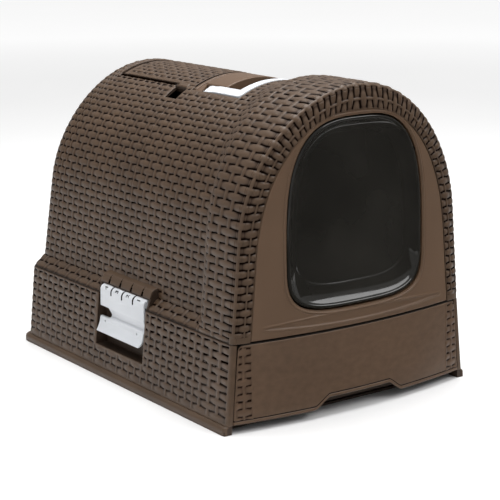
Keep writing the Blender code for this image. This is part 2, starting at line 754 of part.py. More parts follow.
def handle_solid():
    """Handle that lies flush in the roof: a flat strip along the U, following the arch."""
    path = handle_path()
    rings = []
    for i, point in enumerate(path):
        before = Vector(path[max(i - 1, 0)])
        after = Vector(path[min(i + 1, len(path) - 1)])
        along = (after - before).normalized()
        share = abs(along.x)
        width = HANDLE_LEG + (HANDLE_BAR - HANDLE_LEG) * share
        across = Vector((-along.y, along.x)) * width / 2
        ring = []
        for sign, depth in ((1, 0.0), (-1, 0.0), (-1, 0.009), (1, 0.009)):
            x, y = Vector(point) + across * sign
            ring.append((x, y, roof_z(x, depth)))
        rings.append(ring)
    return loft(rings)


def handle_nose(slack=0.0):
    """Tapered round end of the right leg, turning about the handle axis."""
    rings = []
    for x in (HANDLE_HALF - HANDLE_LEG - slack, HANDLE_HALF + slack):
        radius = roof_z(x, 0.0003) - HANDLE_AXIS_Z + slack
        rings.append([(x, y, z) for y, z in circle((HANDLE_AXIS_Y, HANDLE_AXIS_Z), radius, 28)])
    return loft(rings)


def leg_sweep(slack):
    """Space above the handle axis that the right leg passes through as it is lifted."""
    rings = []
    for x in (HANDLE_HALF - HANDLE_LEG - slack, HANDLE_HALF + slack):
        reach = roof_z(x, 0.0003) - HANDLE_AXIS_Z + slack
        low, high = HANDLE_AXIS_Z, HANDLE_AXIS_Z + 0.03
        front, rear = HANDLE_AXIS_Y - reach, HANDLE_AXIS_Y + reach
        rings.append([(x, front, low), (x, rear, low), (x, rear, high), (x, front, high)])
    return loft(rings)


def build_handle():
    """Carry handle, its two pins, and the plate that fills the pan between its legs."""
    origin = (0, HANDLE_AXIS_Y, HANDLE_AXIS_Z)
    handle = piece("carry_handle", handle_solid(), WHITE, origin)
    nose = handle_nose()
    shape(handle, together(nose, mirrored(nose)), "UNION", "handle_noses")
    hole = handle_pin_hole(PIN_HOLE, 0.04, 0.07)
    shape(handle, together(hole, mirrored(hole)), "DIFFERENCE", "handle_holes")
    inner = HANDLE_HALF - HANDLE_LEG - 0.0006
    plate = piece("handle_plate", roof_slab(-inner, inner, PLATE_FRONT, PAN_REAR - CLEAR, 0.0,
                                            PAN_DEPTH - CLEAR), BROWN)
    wings = roof_slab(-PAN_HALF + CLEAR, PAN_HALF - CLEAR, -0.009, PLATE_REAR, 0.0, LEDGE_DEPTH - CLEAR)
    shape(plate, wings, "UNION", "plate_wings")
    for name, room in (("nose_room", handle_nose(0.0005)), ("leg_sweep", leg_sweep(0.0006))):
        shape(plate, together(room, mirrored(room)), "DIFFERENCE", name)
    bore = handle_pin_hole(PIN_HOLE, -0.07, 0.07)
    shape(plate, bore, "DIFFERENCE", "plate_bore")
    for name, side in (("handle_pin_left", -1), ("handle_pin_right", 1)):
        x0, x1 = sorted((side * 0.040, side * 0.0652))
        piece(name, handle_pin_hole(PIN_RADIUS, x0, x1), STEEL)


# ---------------------------------------------------------------- filter hatch
def build_hatch():
    """Roof hatch over the filter, with its pin, the filter cradle and the filter pad."""
    origin = (0, HATCH_AXIS_Y, HATCH_AXIS_Z)
    lid = roof_slab(-HATCH_HALF, HATCH_HALF, HATCH_FRONT, HATCH_REAR, 0.0, HATCH_THICK, 19)
    hatch = piece("filter_hatch", lid, BROWN, origin)
    notch = [block(0.0174, 0.0246, HATCH_AXIS_Y - 0.0045, 0.20, 0.36, 0.40)]
    shape(hatch, together(*notch, *[mirrored(solid) for solid in notch]), "DIFFERENCE", "lug_notches")
    axis = (HATCH_AXIS_Y, HATCH_AXIS_Z)
    shape(hatch, prism_x(circle(axis, BARREL_RADIUS), -0.0174, 0.0174), "UNION", "hatch_barrel")
    shape(hatch, roof_slab(-0.0615, -0.055, 0.026, 0.050, 0.0, HATCH_THICK, 4), "UNION", "hatch_tab")
    shape(hatch, prism_x(circle(axis, PIN_HOLE), -0.03, 0.03), "DIFFERENCE", "hatch_bore")
    piece("hatch_pin", prism_x(circle(axis, PIN_RADIUS), -0.0236, 0.0236), STEEL)

    top = HATCH_THICK + CLEAR
    half = FILTER_HALF
    rim = roof_slab(-HATCH_HALF, HATCH_HALF, 0.0132, 0.1806, top, LEDGE_DEPTH - CLEAR, 19)
    cradle = piece("filter_tray", rim, BROWN_DARK)
    box = block(-half, half, 0.0178, 0.1752, FILTER_BOTTOM, BODY_CROWN)
    tray = hidden(box, "cradle_box")
    shape(tray, roof_slab(-0.07, 0.07, -0.02, 0.22, top, 0.2, 17), "INTERSECT", "cradle_top")
    use(cradle, tray, "UNION")
    inside = block(-half + 0.002, half - 0.002, 0.0198, 0.1732, FILTER_BOTTOM + 0.002, 0.40)
    shape(cradle, inside, "DIFFERENCE", "cradle_room")
    slots = [
        block(x - 0.006, x + 0.006, 0.034, 0.160, 0.34, 0.36)
        for x in (-0.036, -0.018, 0.0, 0.018, 0.036)
    ]
    shape(cradle, together(*slots), "DIFFERENCE", "cradle_slots")
    pad_outline = rounded_rectangle(half - 0.0035, 0.0215, 0.1715, 0.006, 0.006)
    low = FILTER_BOTTOM + 0.0024
    piece("carbon_filter", loft([[(x, y, z) for x, y in pad_outline] for z in (low, low + 0.011)]),
          CHARCOAL)


def main():
    """Clear the scene and build every piece."""
    for old in list(bpy.data.objects):
        bpy.data.objects.remove(old, do_unlink=True)
    build_base()
    build_hood()
    build_front_panel()
    build_door()
    build_drawer()
    build_latches()
    build_handle()
    build_hatch()


main()
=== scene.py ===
"""Looks of the hooded cat litter box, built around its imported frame.

Metres, +Z up; the cat door and the drawer face -Y, and left is -X as seen from the front.
Woven and smooth skins lie a millimetre proud of the frame's plain walls.
"""

import json
import logging
import math
from dataclasses import dataclass, field
from enum import Enum
from typing import Optional, Sequence

import bpy
import numpy as np
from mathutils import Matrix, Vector

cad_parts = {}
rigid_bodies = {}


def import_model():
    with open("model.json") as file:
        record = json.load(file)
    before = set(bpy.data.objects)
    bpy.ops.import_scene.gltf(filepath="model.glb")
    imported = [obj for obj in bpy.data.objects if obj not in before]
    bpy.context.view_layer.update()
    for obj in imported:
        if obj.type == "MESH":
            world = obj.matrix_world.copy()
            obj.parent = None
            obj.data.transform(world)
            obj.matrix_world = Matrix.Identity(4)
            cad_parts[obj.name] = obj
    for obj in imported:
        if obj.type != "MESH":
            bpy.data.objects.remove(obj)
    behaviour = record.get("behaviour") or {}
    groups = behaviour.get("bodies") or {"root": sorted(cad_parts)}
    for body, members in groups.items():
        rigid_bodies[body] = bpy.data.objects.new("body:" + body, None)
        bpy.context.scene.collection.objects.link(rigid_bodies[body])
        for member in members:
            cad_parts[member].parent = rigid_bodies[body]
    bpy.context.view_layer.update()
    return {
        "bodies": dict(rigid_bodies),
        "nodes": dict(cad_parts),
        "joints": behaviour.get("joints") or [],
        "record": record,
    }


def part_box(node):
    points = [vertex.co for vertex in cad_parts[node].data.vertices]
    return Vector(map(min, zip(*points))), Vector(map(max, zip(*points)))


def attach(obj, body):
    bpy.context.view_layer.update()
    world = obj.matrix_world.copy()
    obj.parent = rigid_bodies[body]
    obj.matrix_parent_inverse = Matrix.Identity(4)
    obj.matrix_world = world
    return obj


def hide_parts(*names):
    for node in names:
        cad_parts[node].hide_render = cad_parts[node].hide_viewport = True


LOG = logging.getLogger("litter_box")
Grid = np.ndarray
Socket = bpy.types.NodeSocket
Piece = bpy.types.Object
Outline = list[tuple[float, float]]
MILLIMETRE = 0.001
ROD_SIDES = 32
FRAME: dict = {}


class Side(Enum):
    """The two sides of the box, as the sign of X."""

    LEFT = -1
    RIGHT = 1

    @property
    def word(self) -> str:
        """Side's name in lower case."""
        return self.name.lower()


def joint_axis(name: str) -> Sequence[float]:
    """Point on the axis of one of the frame's joints."""
    return next(joint for joint in FRAME["joints"] if joint["name"] == name)["pos_m"]


# ------------------------------------------------------------------ form of the walls
@dataclass(frozen=True)
class Form:
    """The box's walls as formulas; a row runs along the box, a column runs round it."""

    draft: float = 0.09
    collar_foot: float = 0.187
    collar_crown: float = 0.3965
    collar_round: float = 0.005
    body_foot: float = 0.171
    body_crown: float = 0.384
    spring: float = 0.230
    seam: float = 0.1079
    shoulder_top: float = 0.121
    flare_front: tuple[float, float] = (-0.175, -0.160)
    flare_rear: tuple[float, float] = (-0.147, -0.100)
    front_corner: float = -0.237
    front_bow: float = 0.018
    front_half: float = 0.180
    front_lean: float = 0.03
    rear: float = 0.246
    rear_lean: float = 0.095
    rear_round: float = 0.015
    base_rear: float = 0.2475
    side_rows: float = 12.0
    arch_rows: float = 26.0
    shoulder_rows: float = 2.0
    column_pitch: float = 0.0143
    fan_rear: float = -0.177
    fan_columns: float = 3.0
    lean_from: float = 0.190

    @property
    def crown_row(self) -> float:
        """Row number of the crown, counted from the left shoulder."""
        return self.side_rows + self.arch_rows

    @property
    def row_pitch(self) -> float:
        """Height of one row on the upright part of the wall."""
        return (self.spring - self.shoulder_top) / self.side_rows

    @property
    def lean_column(self) -> float:
        """Column from which the columns close up to the leaning rear wall."""
        return (self.lean_from - self.fan_rear) / self.column_pitch

    @property
    def turn_column(self) -> float:
        """Column where the rounding to the rear wall starts."""
        return self.lean_column + 2.8

    @property
    def last_column(self) -> float:
        """Column where the rounding ends in the rear wall."""
        return self.turn_column + math.pi / 2 * self.rear_round / self.column_pitch

    def drafted(self, foot: float, z: Grid) -> Grid:
        """Half width of a drafted wall at height z."""
        return foot - self.draft * z

    def front_y(self, x: Grid, z: Grid, depth: Grid = 0.0) -> Grid:
        """Bowed, leaning front face, or a surface at a depth behind it."""
        bow = self.front_bow * (1 - (x / self.front_half) ** 2)
        return self.front_corner + self.front_lean * z - bow + depth

    def rear_y(self, z: Grid) -> Grid:
        """Rear wall, upright at the shoulder and leaning forward above it."""
        return self.rear - self.rear_lean * np.maximum(0.0, z - self.shoulder_top)

    def roof_z(self, x: Grid) -> Grid:
        """Height of the hood's roof at x."""
        z = np.full_like(np.asarray(x, float), self.body_crown)
        for _ in range(12):
            across = np.clip(x / self.drafted(self.body_foot, z), -1, 1)
            z = self.spring + (self.body_crown - self.spring) * np.sqrt(1 - across**2)
        return z

    def turn(self, row: Grid) -> Grid:
        """Angle round the arch at a row: 0 at the upright walls, a right angle at the crown."""
        side = self.crown_row - np.abs(row - self.crown_row)
        return np.clip((side - self.side_rows) / self.arch_rows, 0, 1) * math.pi / 2

    def arch(self, foot: float, crown: float, row: Grid) -> tuple[Grid, Grid]:
        """Arch over the box.

        Args:
            foot: half width of the arch's walls, taken down to the floor.
            crown: height of the arch's crown.
            row: row numbers, from the left foot to the right foot.

        Returns:
            x and z of the arch at those rows.
        """
        side = self.crown_row - np.abs(row - self.crown_row)
        turn = self.turn(row)
        rise = np.where(
            side < 0,
            side / self.shoulder_rows * (self.shoulder_top - self.seam),
            np.minimum(side, self.side_rows) * self.row_pitch,
        )
        z = self.shoulder_top + rise + (crown - self.spring) * np.sin(turn)
        x = np.sign(row - self.crown_row) * np.cos(turn) * self.drafted(foot, z)
        return x, z

    def body_arch(self, row: Grid, inset: Grid = 0.0) -> tuple[Grid, Grid]:
        """Arch of the body behind the collar, with its feet spread over the shoulder."""
        x, z = self.arch(self.body_foot - inset, self.body_crown - inset, row)
        side = self.crown_row - np.abs(row - self.crown_row)
        foot = self.drafted(self.collar_foot, self.seam) - inset * 1.4
        top = self.drafted(self.body_foot - inset, self.shoulder_top)
        spread = top + (foot - top) * np.clip(-side / self.shoulder_rows, 0, 1)
        return np.where(side < 0, np.sign(row - self.crown_row) * spread, x), z

    def hood_wall(self, column: Grid, row: Grid) -> Grid:
        """Points of the hood's outside.

        Args:
            column: column numbers, negative in the collar's fan, then along the body
                and round the rear edge.
            row: row numbers.

        Returns:
            Points with one more axis, for x, y and z.
        """
        collar_x, collar_z = self.arch(self.collar_foot, self.collar_crown, row)
        turned = (column - self.turn_column) / (self.last_column - self.turn_column)
        angle = np.clip(turned, 0, 1) * math.pi / 2
        inset = self.rear_round * (1 - np.cos(angle))
        body_x, body_z = self.body_arch(row, inset)
        crest = np.sin(self.turn(row)) ** 2
        front = self.front_y(collar_x, collar_z, self.collar_round)
        turn_start = self.rear_y(body_z) - self.rear_round
        y = self.fan_rear + self.column_pitch * column
        y = np.where(column < 0, self.fan_rear + (front - self.fan_rear) * -column / self.fan_columns, y)
        lean = (column - self.lean_column) / (self.turn_column - self.lean_column)
        leaning = self.lean_from + (turn_start - self.lean_from) * np.minimum(lean, 1)
        y = np.where(column > self.lean_column, leaning, y)
        y = np.where(column > self.turn_column, turn_start + self.rear_round * np.sin(angle), y)
        start = self.flare_front[0] + (self.flare_front[1] - self.flare_front[0]) * crest
        end = self.flare_rear[0] + (self.flare_rear[1] - self.flare_rear[0]) * crest
        step = np.clip((y - start) / (end - start), 0, 1)
        blend = step * step * (3 - 2 * step)
        x = collar_x + (body_x - collar_x) * blend
        z = collar_z + (body_z - collar_z) * blend
        return np.stack(np.broadcast_arrays(x, y, z), axis=-1)


FORM = Form()


# ------------------------------------------------------------------ reliefs
def soft_step(value: Grid, low: float, high: float) -> Grid:
    """0 below low, 1 above high and a smooth rise between."""
    share = np.clip((value - low) / (high - low), 0, 1)
    return share * share * (3 - 2 * share)


def rectangle_gap(x: Grid, y: Grid, box: Sequence[float]) -> Grid:
    """Distance from (x, y) to the rectangle (x0, x1, y0, y1), negative inside it."""
    x0, x1, y0, y1 = box
    out_x, out_y = np.maximum(x0 - x, x - x1), np.maximum(y0 - y, y - y1)
    outside = np.hypot(np.maximum(out_x, 0), np.maximum(out_y, 0))
    return outside + np.minimum(np.maximum(out_x, out_y), 0)


@dataclass(frozen=True)
class Weave:
    """Plain over-and-under weave: wide flat strands along the rows, narrow stakes across."""

    body: float = 1.25 * MILLIMETRE
    swing: float = 0.55 * MILLIMETRE
    pit: float = 0.04 * MILLIMETRE
    stake_share: float = 0.15
    strand_half: float = 0.425
    slot: tuple[float, float] = (0.55, 0.80)

    def relief(
        self,
        column: Grid,
        row: Grid,
        stakes: tuple[float, float] = (-1000.0, 1000.0),
        front: float = 1.0,
    ) -> Grid:
        """Height of the weave over the wall.

        Args:
            column: column numbers; whole numbers are stakes.
            row: row numbers; whole numbers are the gaps between strands.
            stakes: lowest and highest stake; beyond them the gaps stay open.
            front: 1 where the gaps open beside a stake towards lower columns, -1 where
                they open towards higher ones.

        Returns:
            Heights, largest on the strands' crests.
        """
        number = np.floor(row)
        across = np.abs(row - number - 0.5)
        wave = np.cos(math.pi * (column + number))
        wave = np.sign(wave) * np.abs(wave) ** 0.8
        closed = soft_step(np.mod(-column * front, 1.0), *self.slot)
        closed = closed * (column > stakes[0]) * (column < stakes[1])
        half = self.strand_half + (0.53 - self.strand_half) * closed
        edge = np.clip(1 - (across / half) ** 2.6, 0, 1) ** 0.5
        strand = (self.body + self.swing * wave) * edge
        near = np.clip(np.round(column), *stakes)
        bar = np.sqrt(np.clip(1 - ((column - near) / self.stake_share) ** 2, 0, 1))
        swing = np.cos(math.pi * (row - 0.5 + near))
        stake = (self.body - self.swing * 0.8 * swing) * bar
        return np.maximum(np.maximum(strand, stake), self.pit)


WEAVE = Weave()
SMOOTH = 1.10 * MILLIMETRE    # height of smooth bands beside the weave
SINK = 0.5 * MILLIMETRE       # how far a skin reaches into the wall below it


def blended(relief: Grid, smooth: float, share: Grid) -> Grid:
    """Relief that turns into a smooth band where share is 1."""
    return relief + (smooth - relief) * share


# ------------------------------------------------------------------ meshes
def snapped(values: Grid, stops: Sequence[float]) -> Grid:
    """Grid lines with the nearest line moved onto each stop."""
    lines = np.array(values, float)
    for stop in stops:
        lines[np.argmin(np.abs(lines - stop))] = stop
    return np.unique(lines)


def widened(values: Grid) -> Grid:
    """Grid lines with one more line at both ends."""
    return np.concatenate([[2 * values[0] - values[1]], values, [2 * values[-1] - values[-2]]])


def cell_middles(lines: Grid, levels: Grid) -> list[Grid]:
    """Middles of the cells between grid lines, as two grids."""
    return np.meshgrid((lines[:-1] + lines[1:]) / 2, (levels[:-1] + levels[1:]) / 2, indexing="ij")


def mesh_object(name: str, points: Grid, faces: Sequence) -> Piece:
    """Object at the origin with that mesh, smoothly shaded."""
    mesh = bpy.data.meshes.new(name)
    mesh.from_pydata(points, [], faces)
    mesh.validate()
    mesh.shade_smooth()
    made = bpy.data.objects.new(name, mesh)
    bpy.context.scene.collection.objects.link(made)
    return made


def unit_normals(points: Grid) -> Grid:
    """Unit normals of a grid of points, turned away from the middle of the box."""
    normals = np.cross(np.gradient(points, axis=0), np.gradient(points, axis=1))
    normals /= np.maximum(np.linalg.norm(normals, axis=2, keepdims=True), 1e-12)
    outward = points - np.array([0.0, 0.0, 0.2])
    return normals * (1 if np.sum(normals * outward) > 0 else -1)


def grid_faces(keep: Grid, flipped: bool, closed: bool = False) -> Grid:
    """Faces of a closed skin over the kept cells of a grid.

    Args:
        keep: which cells of the grid are there.
        flipped: whether the grid's own winding points inwards.
        closed: whether the grid's last line is its first line again.

    Returns:
        Vertex numbers of the outer faces, the inner faces and the walls at their edges.
    """
    rows, cols = keep.shape[0] + 1, keep.shape[1] + 1
    number = np.arange(rows * cols).reshape(rows, cols)
    if closed:
        number[-1] = number[0]
    corners = [number[:-1, :-1], number[1:, :-1], number[1:, 1:], number[:-1, 1:]]
    inner = rows * cols
    outer = np.stack([c[keep] for c in corners], axis=1)
    padded = np.pad(keep, 1)
    beside = [padded[1:-1, :-2], padded[2:, 1:-1].copy(), padded[1:-1, 2:], padded[:-2, 1:-1].copy()]
    if closed:
        beside[1][-1], beside[3][0] = keep[0], keep[-1]
    faces = [outer, outer[:, ::-1] + inner]
    for i, neighbour in enumerate(beside):
        rim = keep & ~neighbour
        start, end = corners[i][rim], corners[(i + 1) % 4][rim]
        faces.append(np.stack([end, start, start + inner, end + inner], axis=1))
    whole = np.concatenate(faces)
    return whole[:, ::-1] if flipped else whole


def skin(
    name: str,
    points: Grid,
    heights: Grid,
    keep: Optional[Grid] = None,
    sink: float = SINK,
    relief: Optional[Grid] = None,
    margin: int = 0,
    closed: bool = False,
) -> Piece:
    """Closed relief skin over a surface.

    Args:
        name: the piece's name.
        points: grid of points on the surface.
        heights: how far the skin stands over each point.
        keep: which cells of the grid are there; all of them when left out.
        sink: how far the skin's back lies behind the surface.
        relief: weave that the attribute for painted shade follows; the heights when left out.
        margin: lines at every edge of the grid that only serve the normals.
        closed: whether the grid's last line is its first line again.

    Returns:
        The object, with a point attribute that is 0 in the weave's pits and 1 on top; the woven finish
        paints shade from it.
    """
    normals = unit_normals(points)
    winding = np.cross(np.gradient(points, axis=0), np.gradient(points, axis=1))
    flipped = bool(np.sum(winding * normals) < 0)
    heights = np.broadcast_to(heights, points.shape[:2])
    relief = heights if relief is None else relief
    if margin:
        inside = slice(margin, -margin)
        points, normals = points[inside, inside], normals[inside, inside]
        heights, relief = heights[inside, inside], relief[inside, inside]
    if closed:
        normals[0] = normals[-1] = (normals[0] + normals[-1]) / 2
    if keep is None:
        keep = np.ones((points.shape[0] - 1, points.shape[1] - 1), bool)
    outer = points + normals * heights[..., None]
    inner = points - normals * sink
    vertices = np.concatenate([outer.reshape(-1, 3), inner.reshape(-1, 3)])
    faces = grid_faces(keep, flipped, closed)
    used, renumbered = np.unique(faces, return_inverse=True)
    made = mesh_object(name, vertices[used], renumbered.reshape(-1, 4))
    # Mask for painted shade: 0 where the relief is low, so the woven finish darkens it there.
    cavity = soft_step(relief, 0.0, SMOOTH).reshape(-1)
    both = np.concatenate([cavity, cavity])[used]
    layer = made.data.attributes.new("cavity", "FLOAT", "POINT")
    layer.data.foreach_set("value", both.astype(np.float32))
    return made


def ring_solid(name: str, rings: Sequence[Grid]) -> Piece:
    """Closed solid through rings of points with equal counts, with both ends filled."""
    count = len(rings[0])
    points = np.concatenate([np.asarray(ring, float) for ring in rings])
    faces: list[list[int]] = []
    for level in range(len(rings) - 1):
        base = level * count
        for i in range(count):
            j = (i + 1) % count
            faces.append([base + i, base + j, base + count + j, base + count + i])
    last = (len(rings) - 1) * count
    faces.append(list(range(count))[::-1])
    faces.append([last + i for i in range(count)])
    made = mesh_object(name, points, faces)
    select_only(made)
    bpy.ops.object.mode_set(mode="EDIT")
    bpy.ops.mesh.select_all(action="SELECT")
    bpy.ops.mesh.remove_doubles(threshold=0.000005)
    bpy.ops.mesh.normals_make_consistent(inside=False)
    bpy.ops.object.mode_set(mode="OBJECT")
    return made


def select_only(target: Piece) -> None:
    """Make one object the only selected and the active one."""
    bpy.ops.object.select_all(action="DESELECT")
    target.select_set(True)
    bpy.context.view_layer.objects.active = target


def finish_mesh(target: Piece, angle: float = 35.0) -> None:
    """Apply place and modifiers, then shade smooth up to an angle."""
    select_only(target)
    bpy.ops.object.transform_apply(location=True, rotation=True, scale=True)
    for modifier in list(target.modifiers):
        bpy.ops.object.modifier_apply(modifier=modifier.name)
    bpy.ops.object.shade_smooth_by_angle(angle=math.radians(angle))


def add_cube(name: str, low: Sequence[float], high: Sequence[float]) -> Piece:
    """Box primitive between two corners."""
    bpy.ops.object.select_all(action="DESELECT")
    middle = [(a + b) / 2 for a, b in zip(low, high)]
    bpy.ops.mesh.primitive_cube_add(size=1, location=middle)
    made = bpy.context.object
    made.name = name
    made.scale = [b - a for a, b in zip(low, high)]
    bpy.ops.object.transform_apply(location=True, rotation=True, scale=True)
    return made


def add_rod(name: str, centre: Sequence[float], radius: float, length: float, axis: str) -> Piece:
    """Round rod primitive along X, Y or Z."""
    bpy.ops.object.select_all(action="DESELECT")
    turn = {"X": (0, math.pi / 2, 0), "Y": (math.pi / 2, 0, 0), "Z": (0, 0, 0)}[axis]
    bpy.ops.mesh.primitive_cylinder_add(
        vertices=ROD_SIDES, radius=radius, depth=length, location=centre, rotation=turn
    )
    made = bpy.context.object
    made.name = name
    bpy.ops.object.transform_apply(location=True, rotation=True, scale=True)
    return made


def add_bevel(target: Piece, width: float, segments: int = 3, angle: float = 40.0) -> None:
    """Rounded edges, left to be applied by finish_mesh."""
    bevel = target.modifiers.new("rounded_edges", "BEVEL")
    bevel.width = width
    bevel.segments = segments
    bevel.limit_method = "ANGLE"
    bevel.angle_limit = math.radians(angle)
    bevel.harden_normals = False


def cut_with(target: Piece, tool: Piece, operation: str = "DIFFERENCE") -> None:
    """Boolean with a tool that is used up."""
    modifier = target.modifiers.new("cut", "BOOLEAN")
    modifier.operation = operation
    modifier.solver = "EXACT"
    modifier.object = tool
    select_only(target)
    bpy.ops.object.modifier_apply(modifier=modifier.name)
    bpy.data.objects.remove(tool, do_unlink=True)


# ------------------------------------------------------------------ finishes
class NodeBuilder:
    """Small helper that adds shader nodes to a material and links them."""

    def __init__(self, name: str) -> None:
        """Start a material with a Principled shader."""
        self.material = bpy.data.materials.new(name)
        self.material.use_nodes = True
        self.nodes = self.material.node_tree.nodes
        self.links = self.material.node_tree.links
        self.shader = self.nodes["Principled BSDF"]
        self.place = self.nodes.new("ShaderNodeTexCoord").outputs["Object"]

    def set(self, **values: float) -> None:
        """Uniform values on the shader's own sockets; underscores stand for spaces."""
        for key, value in values.items():
            self.shader.inputs[key.replace("_", " ")].default_value = value

    def noise(self, scale: float, detail: float = 3.0, stretch: Sequence[float] = (1, 1, 1)) -> Socket:
        """Noise pattern on object coordinates, stretched along the axes."""
        mapping = self.nodes.new("ShaderNodeMapping")
        mapping.inputs["Scale"].default_value = stretch
        self.links.new(self.place, mapping.inputs["Vector"])
        noise = self.nodes.new("ShaderNodeTexNoise")
        noise.inputs["Scale"].default_value = scale
        noise.inputs["Detail"].default_value = detail
        self.links.new(mapping.outputs["Vector"], noise.inputs["Vector"])
        return noise.outputs["Fac"]

    def ramp(self, source: Socket, *stops: tuple[float, Sequence[float]]) -> Socket:
        """Colour ramp over a value, through stops of (value, colour)."""
        ramp = self.nodes.new("ShaderNodeValToRGB")
        band = ramp.color_ramp
        band.elements[0].position, band.elements[1].position = stops[0][0], stops[-1][0]
        band.elements[0].color = (*stops[0][1], 1)
        band.elements[1].color = (*stops[-1][1], 1)
        for position, colour in stops[1:-1]:
            band.elements.new(position).color = (*colour, 1)
        self.links.new(source, ramp.inputs["Fac"])
        return ramp.outputs["Color"]

    def span(
        self, source: Socket, low: float, high: float, start: float = 0.3, end: float = 0.7
    ) -> Socket:
        """Value mapped from start..end onto low..high."""
        node = self.nodes.new("ShaderNodeMapRange")
        for key, value in (("From Min", start), ("From Max", end), ("To Min", low), ("To Max", high)):
            node.inputs[key].default_value = value
        self.links.new(source, node.inputs["Value"])
        return node.outputs["Result"]

    def multiply(self, first: Socket, second: Socket) -> Socket:
        """Product of two colours."""
        mix = self.nodes.new("ShaderNodeMix")
        mix.data_type = "RGBA"
        mix.blend_type = "MULTIPLY"
        mix.inputs["Factor"].default_value = 1.0
        self.links.new(first, mix.inputs["A"])
        self.links.new(second, mix.inputs["B"])
        return mix.outputs["Result"]

    def attribute(self, name: str) -> Socket:
        """Value of a mesh attribute."""
        node = self.nodes.new("ShaderNodeAttribute")
        node.attribute_name = name
        return node.outputs["Fac"]

    def link(self, source: Socket, socket: str) -> None:
        """Feed one of the shader's sockets."""
        self.links.new(source, self.shader.inputs[socket])

    def bump(self, *sources: tuple[Socket, float, float]) -> None:
        """Stack bumps of (height, strength, distance) onto the shader's normal."""
        normal = None
        for height, strength, distance in sources:
            node = self.nodes.new("ShaderNodeBump")
            node.inputs["Strength"].default_value = strength
            node.inputs["Distance"].default_value = distance
            self.links.new(height, node.inputs["Height"])
            if normal is not None:
                self.links.new(normal, node.inputs["Normal"])
            normal = node.outputs["Normal"]
        self.links.new(normal, self.shader.inputs["Normal"])


def shaded(colour: Sequence[float], factor: float) -> tuple[float, float, float]:
    """Colour made lighter or darker by a factor."""
    return tuple(min(1.0, c * factor) for c in colour)


# Painted shade for the weave: colour multipliers that darken its pits and strand edges, where shade falls,
# and leave the crests at full colour.
PIT_SHADE_TONES = (
    (0.0, (0.02, 0.015, 0.01)),
    (0.42, (0.10, 0.07, 0.06)),
    (0.80, (0.66, 0.62, 0.60)),
    (1.0, (1, 1, 1)),
)


@dataclass(frozen=True)
class MouldedPlastic:
    """Matte moulded plastic with a fine spark-eroded grain."""

    name: str
    colour: tuple[float, float, float]
    roughness: float = 0.5
    grain: float = 0.25
    variation: float = 0.06
    woven: bool = False

    def build(self) -> bpy.types.Material:
        """Material with mottled colour, fine grain and, on weave, painted shade: pits and strand edges
        darkened and their sheen dimmed.
        """
        made = NodeBuilder(self.name)
        made.set(IOR=1.5, Specular_IOR_Level=0.32)
        cloud = made.noise(14.0, 4.0)
        low, high = shaded(self.colour, 1 - self.variation), shaded(self.colour, 1 + self.variation)
        colour = made.ramp(cloud, (0.3, low), (0.7, high))
        if self.woven:
            strand = made.noise(90.0, 2.0, (1.0, 0.22, 1.6))
            streaks = made.ramp(strand, (0.3, (0.80, 0.79, 0.78)), (0.7, (1.0, 1.0, 1.0)))
            colour = made.multiply(colour, streaks)
            # Painted shade: low weave relief darkens the colour and dims the specular, standing in for shade
            # in the pits.
            cavity = made.attribute("cavity")
            colour = made.multiply(colour, made.ramp(cavity, *PIT_SHADE_TONES))
            made.link(made.span(cavity, 0.0, 0.34, 0.25, 0.85), "Specular IOR Level")
        made.link(colour, "Base Color")
        speck = made.noise(1900.0, 2.0)
        made.link(made.span(speck, self.roughness - 0.06, self.roughness + 0.08), "Roughness")
        streak = made.noise(260.0, 2.0, (1.0, 0.15, 1.0)) if self.woven else made.noise(420.0, 2.0)
        made.bump((speck, self.grain, 0.0002), (streak, self.grain * 0.5, 0.0004))
        return made.material


@dataclass(frozen=True)
class SmokedPlastic:
    """Dark, glossy see-through plastic of the swing door."""

    name: str
    colour: tuple[float, float, float] = (0.0155, 0.0145, 0.0125)
    roughness: float = 0.06

    def build(self) -> bpy.types.Material:
        """Glossy dark material with faint rubbing marks and moulding waves."""
        made = NodeBuilder(self.name)
        made.set(IOR=1.5, Specular_IOR_Level=0.42)
        cloud = made.noise(9.0, 3.0)
        dark, pale = shaded(self.colour, 0.75), shaded(self.colour, 1.35)
        made.link(made.ramp(cloud, (0.3, dark), (0.7, pale)), "Base Color")
        rub = made.noise(55.0, 5.0, (1.0, 1.0, 0.25))
        made.link(made.span(rub, self.roughness, self.roughness + 0.08, 0.45, 0.75), "Roughness")
        made.bump((made.noise(22.0, 1.0), 0.05, 0.0008))
        return made.material


@dataclass(frozen=True)
class SatinWhite:
    """White satin plastic of the latches and the handle."""

    name: str
    colour: tuple[float, float, float] = (0.64, 0.66, 0.69)

    def build(self) -> bpy.types.Material:
        """Nearly even white with a faint grain and slightly greyer patches."""
        made = NodeBuilder(self.name)
        made.set(IOR=1.49, Specular_IOR_Level=0.5)
        cloud = made.noise(30.0, 4.0)
        made.link(made.ramp(cloud, (0.3, shaded(self.colour, 0.96)), (0.7, self.colour)), "Base Color")
        speck = made.noise(1500.0, 2.0)
        made.link(made.span(speck, 0.34, 0.46), "Roughness")
        made.bump((speck, 0.12, 0.0002))
        return made.material


@dataclass(frozen=True)
class BrushedPin:
    """Drawn steel wire of the hinge pins."""

    name: str

    def build(self) -> bpy.types.Material:
        """Metal with drawing lines and slightly uneven shine."""
        made = NodeBuilder(self.name)
        made.set(Metallic=1.0)
        lines = made.noise(700.0, 2.0, (0.06, 0.06, 1.0))
        made.link(made.ramp(lines, (0.3, (0.42, 0.42, 0.43)), (0.7, (0.62, 0.62, 0.63))), "Base Color")
        made.link(made.span(lines, 0.22, 0.38), "Roughness")
        made.bump((lines, 0.15, 0.0001))
        return made.material


